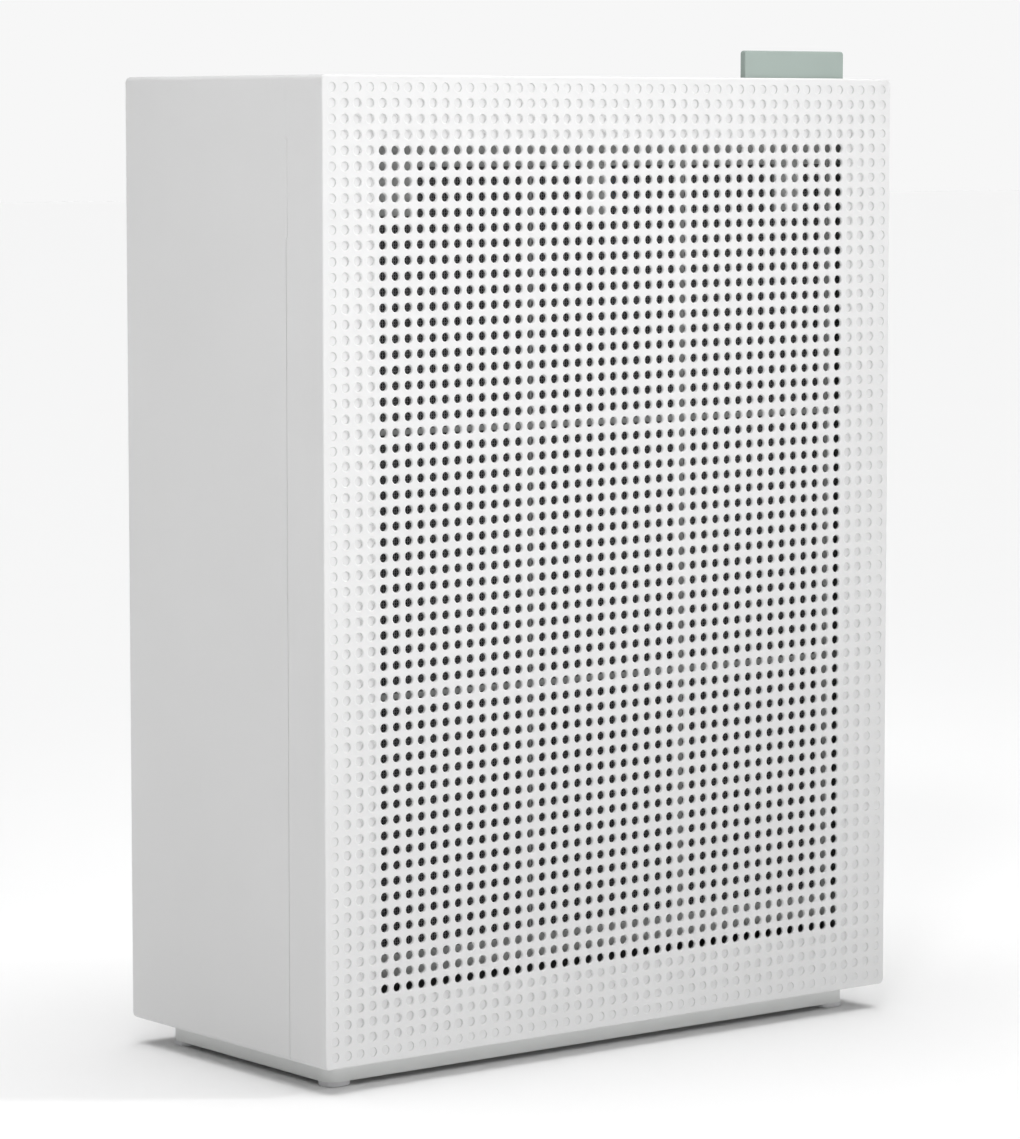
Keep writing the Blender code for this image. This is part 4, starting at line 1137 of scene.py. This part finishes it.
def touch_panel():
    low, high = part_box("control_panel")
    outline = rounded(low.x, high.x, low.y, high.y, 3.7 * MM)
    plate = make_object("touch_panel_plate", push(outline, "z", low.z, high.z - 0.04 * MM))
    break_edges(plate, 0.3 * MM, 3, 50)
    finish_piece(plate, panel_white, "casing", ["control_panel"])
    z = high.z - 0.035 * MM
    y = (low.y + high.y) / 2
    sign_pitch = 28 * MM
    bold = LINE * 1.6
    bm = bmesh.new()
    power, speed, night, timer, filters = [(k - 2) * sign_pitch for k in range(5)]
    ring_mark(bm, power, y, SIGN_R, SIGN_R - bold, z, 120, 420)
    bar_mark(bm, power - bold / 2, power + bold / 2, y + 0.6 * MM, y + 4 * MM, z)
    blade, blade_reach = 1.6 * MM, 1.9 * MM
    for k in range(3):
        a = math.radians(90 + 120 * k)
        ring_mark(bm, speed + blade_reach * math.cos(a), y + blade_reach * math.sin(a),
                  blade, blade - LINE, z, 0, 360, 24)
    ring_mark(bm, night, y, SIGN_R, SIGN_R - bold, z, 60, 300)
    inner_moon = 2.9 * MM
    ring_mark(bm, night + 1.75 * MM, y, inner_moon, inner_moon - bold, z, 103, 257)
    ring_mark(bm, timer, y, SIGN_R, SIGN_R - bold, z)
    bar_mark(bm, timer - LINE / 2, timer + LINE / 2, y, y + 2.1 * MM, z)
    bar_mark(bm, timer, timer + 1.6 * MM, y - LINE / 2, y + LINE / 2, z)
    for k in (-1, 0, 1):
        bar_y = y + k * 1.8 * MM
        bar_mark(bm, filters - 3 * MM, filters + 3 * MM, bar_y - LINE / 2, bar_y + LINE / 2, z)
    finish_piece(make_object("touch_panel_signs", bm), printed_grey, "casing")


touch_panel()

# %% [markdown]
# ## The hand recess and the mains inlet
# The recess in the back is a smooth cup for the fingers, and the inlet is a black socket with two round
# pins. Each is a block less its hollow, with its edges broken afterwards, and is let into the shell.

# %% Hand recess and mains inlet
def cup(name, node, radius, wall, mat):
    """A rounded box open at the back, hollowed to an even wall."""
    low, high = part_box(node)
    outer = rounded(low.x, high.x, low.z, high.z, radius, 8)
    inner = rounded(low.x + wall, high.x - wall, low.z + wall, high.z - wall, radius - wall, 8)
    obj = make_object(name, push(outer, "y", low.y, high.y))
    cut(obj, push(inner, "y", low.y + wall, high.y + MM))
    break_edges(obj, 0.5 * MM, 3, 50)
    finish_piece(obj, mat, "casing", [node])


def mains_inlet():
    low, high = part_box("power_inlet")
    x, z = (low.x + high.x) / 2, (low.z + high.z) / 2
    outline = rounded(low.x, high.x, low.z, high.z, 2.7 * MM)
    obj = make_object("mains_inlet_socket", push(outline, "y", low.y, high.y))
    half_wide, half_tall, deep = 8.6 * MM, 4.6 * MM, 14 * MM
    hollow = rounded(x - half_wide, x + half_wide, z - half_tall, z + half_tall, 4.5 * MM, 10)
    cut(obj, push(hollow, "y", high.y - deep, high.y + MM))
    break_edges(obj, 0.3 * MM, 2, 50)
    finish_piece(obj, charcoal, "casing", ["power_inlet"])
    for side in ("left", "right"):
        low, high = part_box("inlet_pin_" + side)
        x, z = (low.x + high.x) / 2, (low.z + high.z) / 2
        radius = (high.x - low.x) / 2
        bm = bmesh.new()
        rings = []
        for share, y in ((1, low.y), (1, high.y - radius), (0.87, high.y - radius / 2), (0.45, high.y)):
            rings.append([(a, y, b) for a, b in arc(x, z, radius * share, 0, 360, 24)[:-1]])
        skin(bm, rings)
        finish_piece(make_object("mains_pin_" + side, bm), zinc, "casing",
                     ["inlet_pin_" + side])


cup("hand_recess", "handle_cup", 5.7 * MM, 1.6 * MM, white)
mains_inlet()

# %% [markdown]
# ## The pieces behind the filters
# Nobody sees the fan until the front is off, but then its grey bay, the guard and the pale wheel behind it
# are the first thing there. Their solids have the right shape already, so they only take a finish.

# %% Finishes on the carried-over solids
def dress(names, mat):
    for name in names:
        slots = nodes[name].data.materials
        if not slots:
            slots.append(mat)
        for k in range(len(slots)):
            slots[k] = mat


dress(["filter_bay", "inlet_bell", "inlet_guard", "scroll_housing"], bay_grey)
dress(["impeller"], wheel_white)
dress(["motor"], motor_black)
dress(["motor_bracket", "motor_shaft", "impeller_nut"], zinc)
dress([n for n in nodes if "screw" in n], zinc)
dress([n for n in nodes if "bush" in n] + ["motor_lead", "mains_lead"], rubber)
dress(["control_board", "power_board"], board_green)
dress(["dust_sensor", "cover_switch"], charcoal)
shown = [n for n, o in nodes.items() if not o.hide_render]
print("solids still shown:", len(shown))
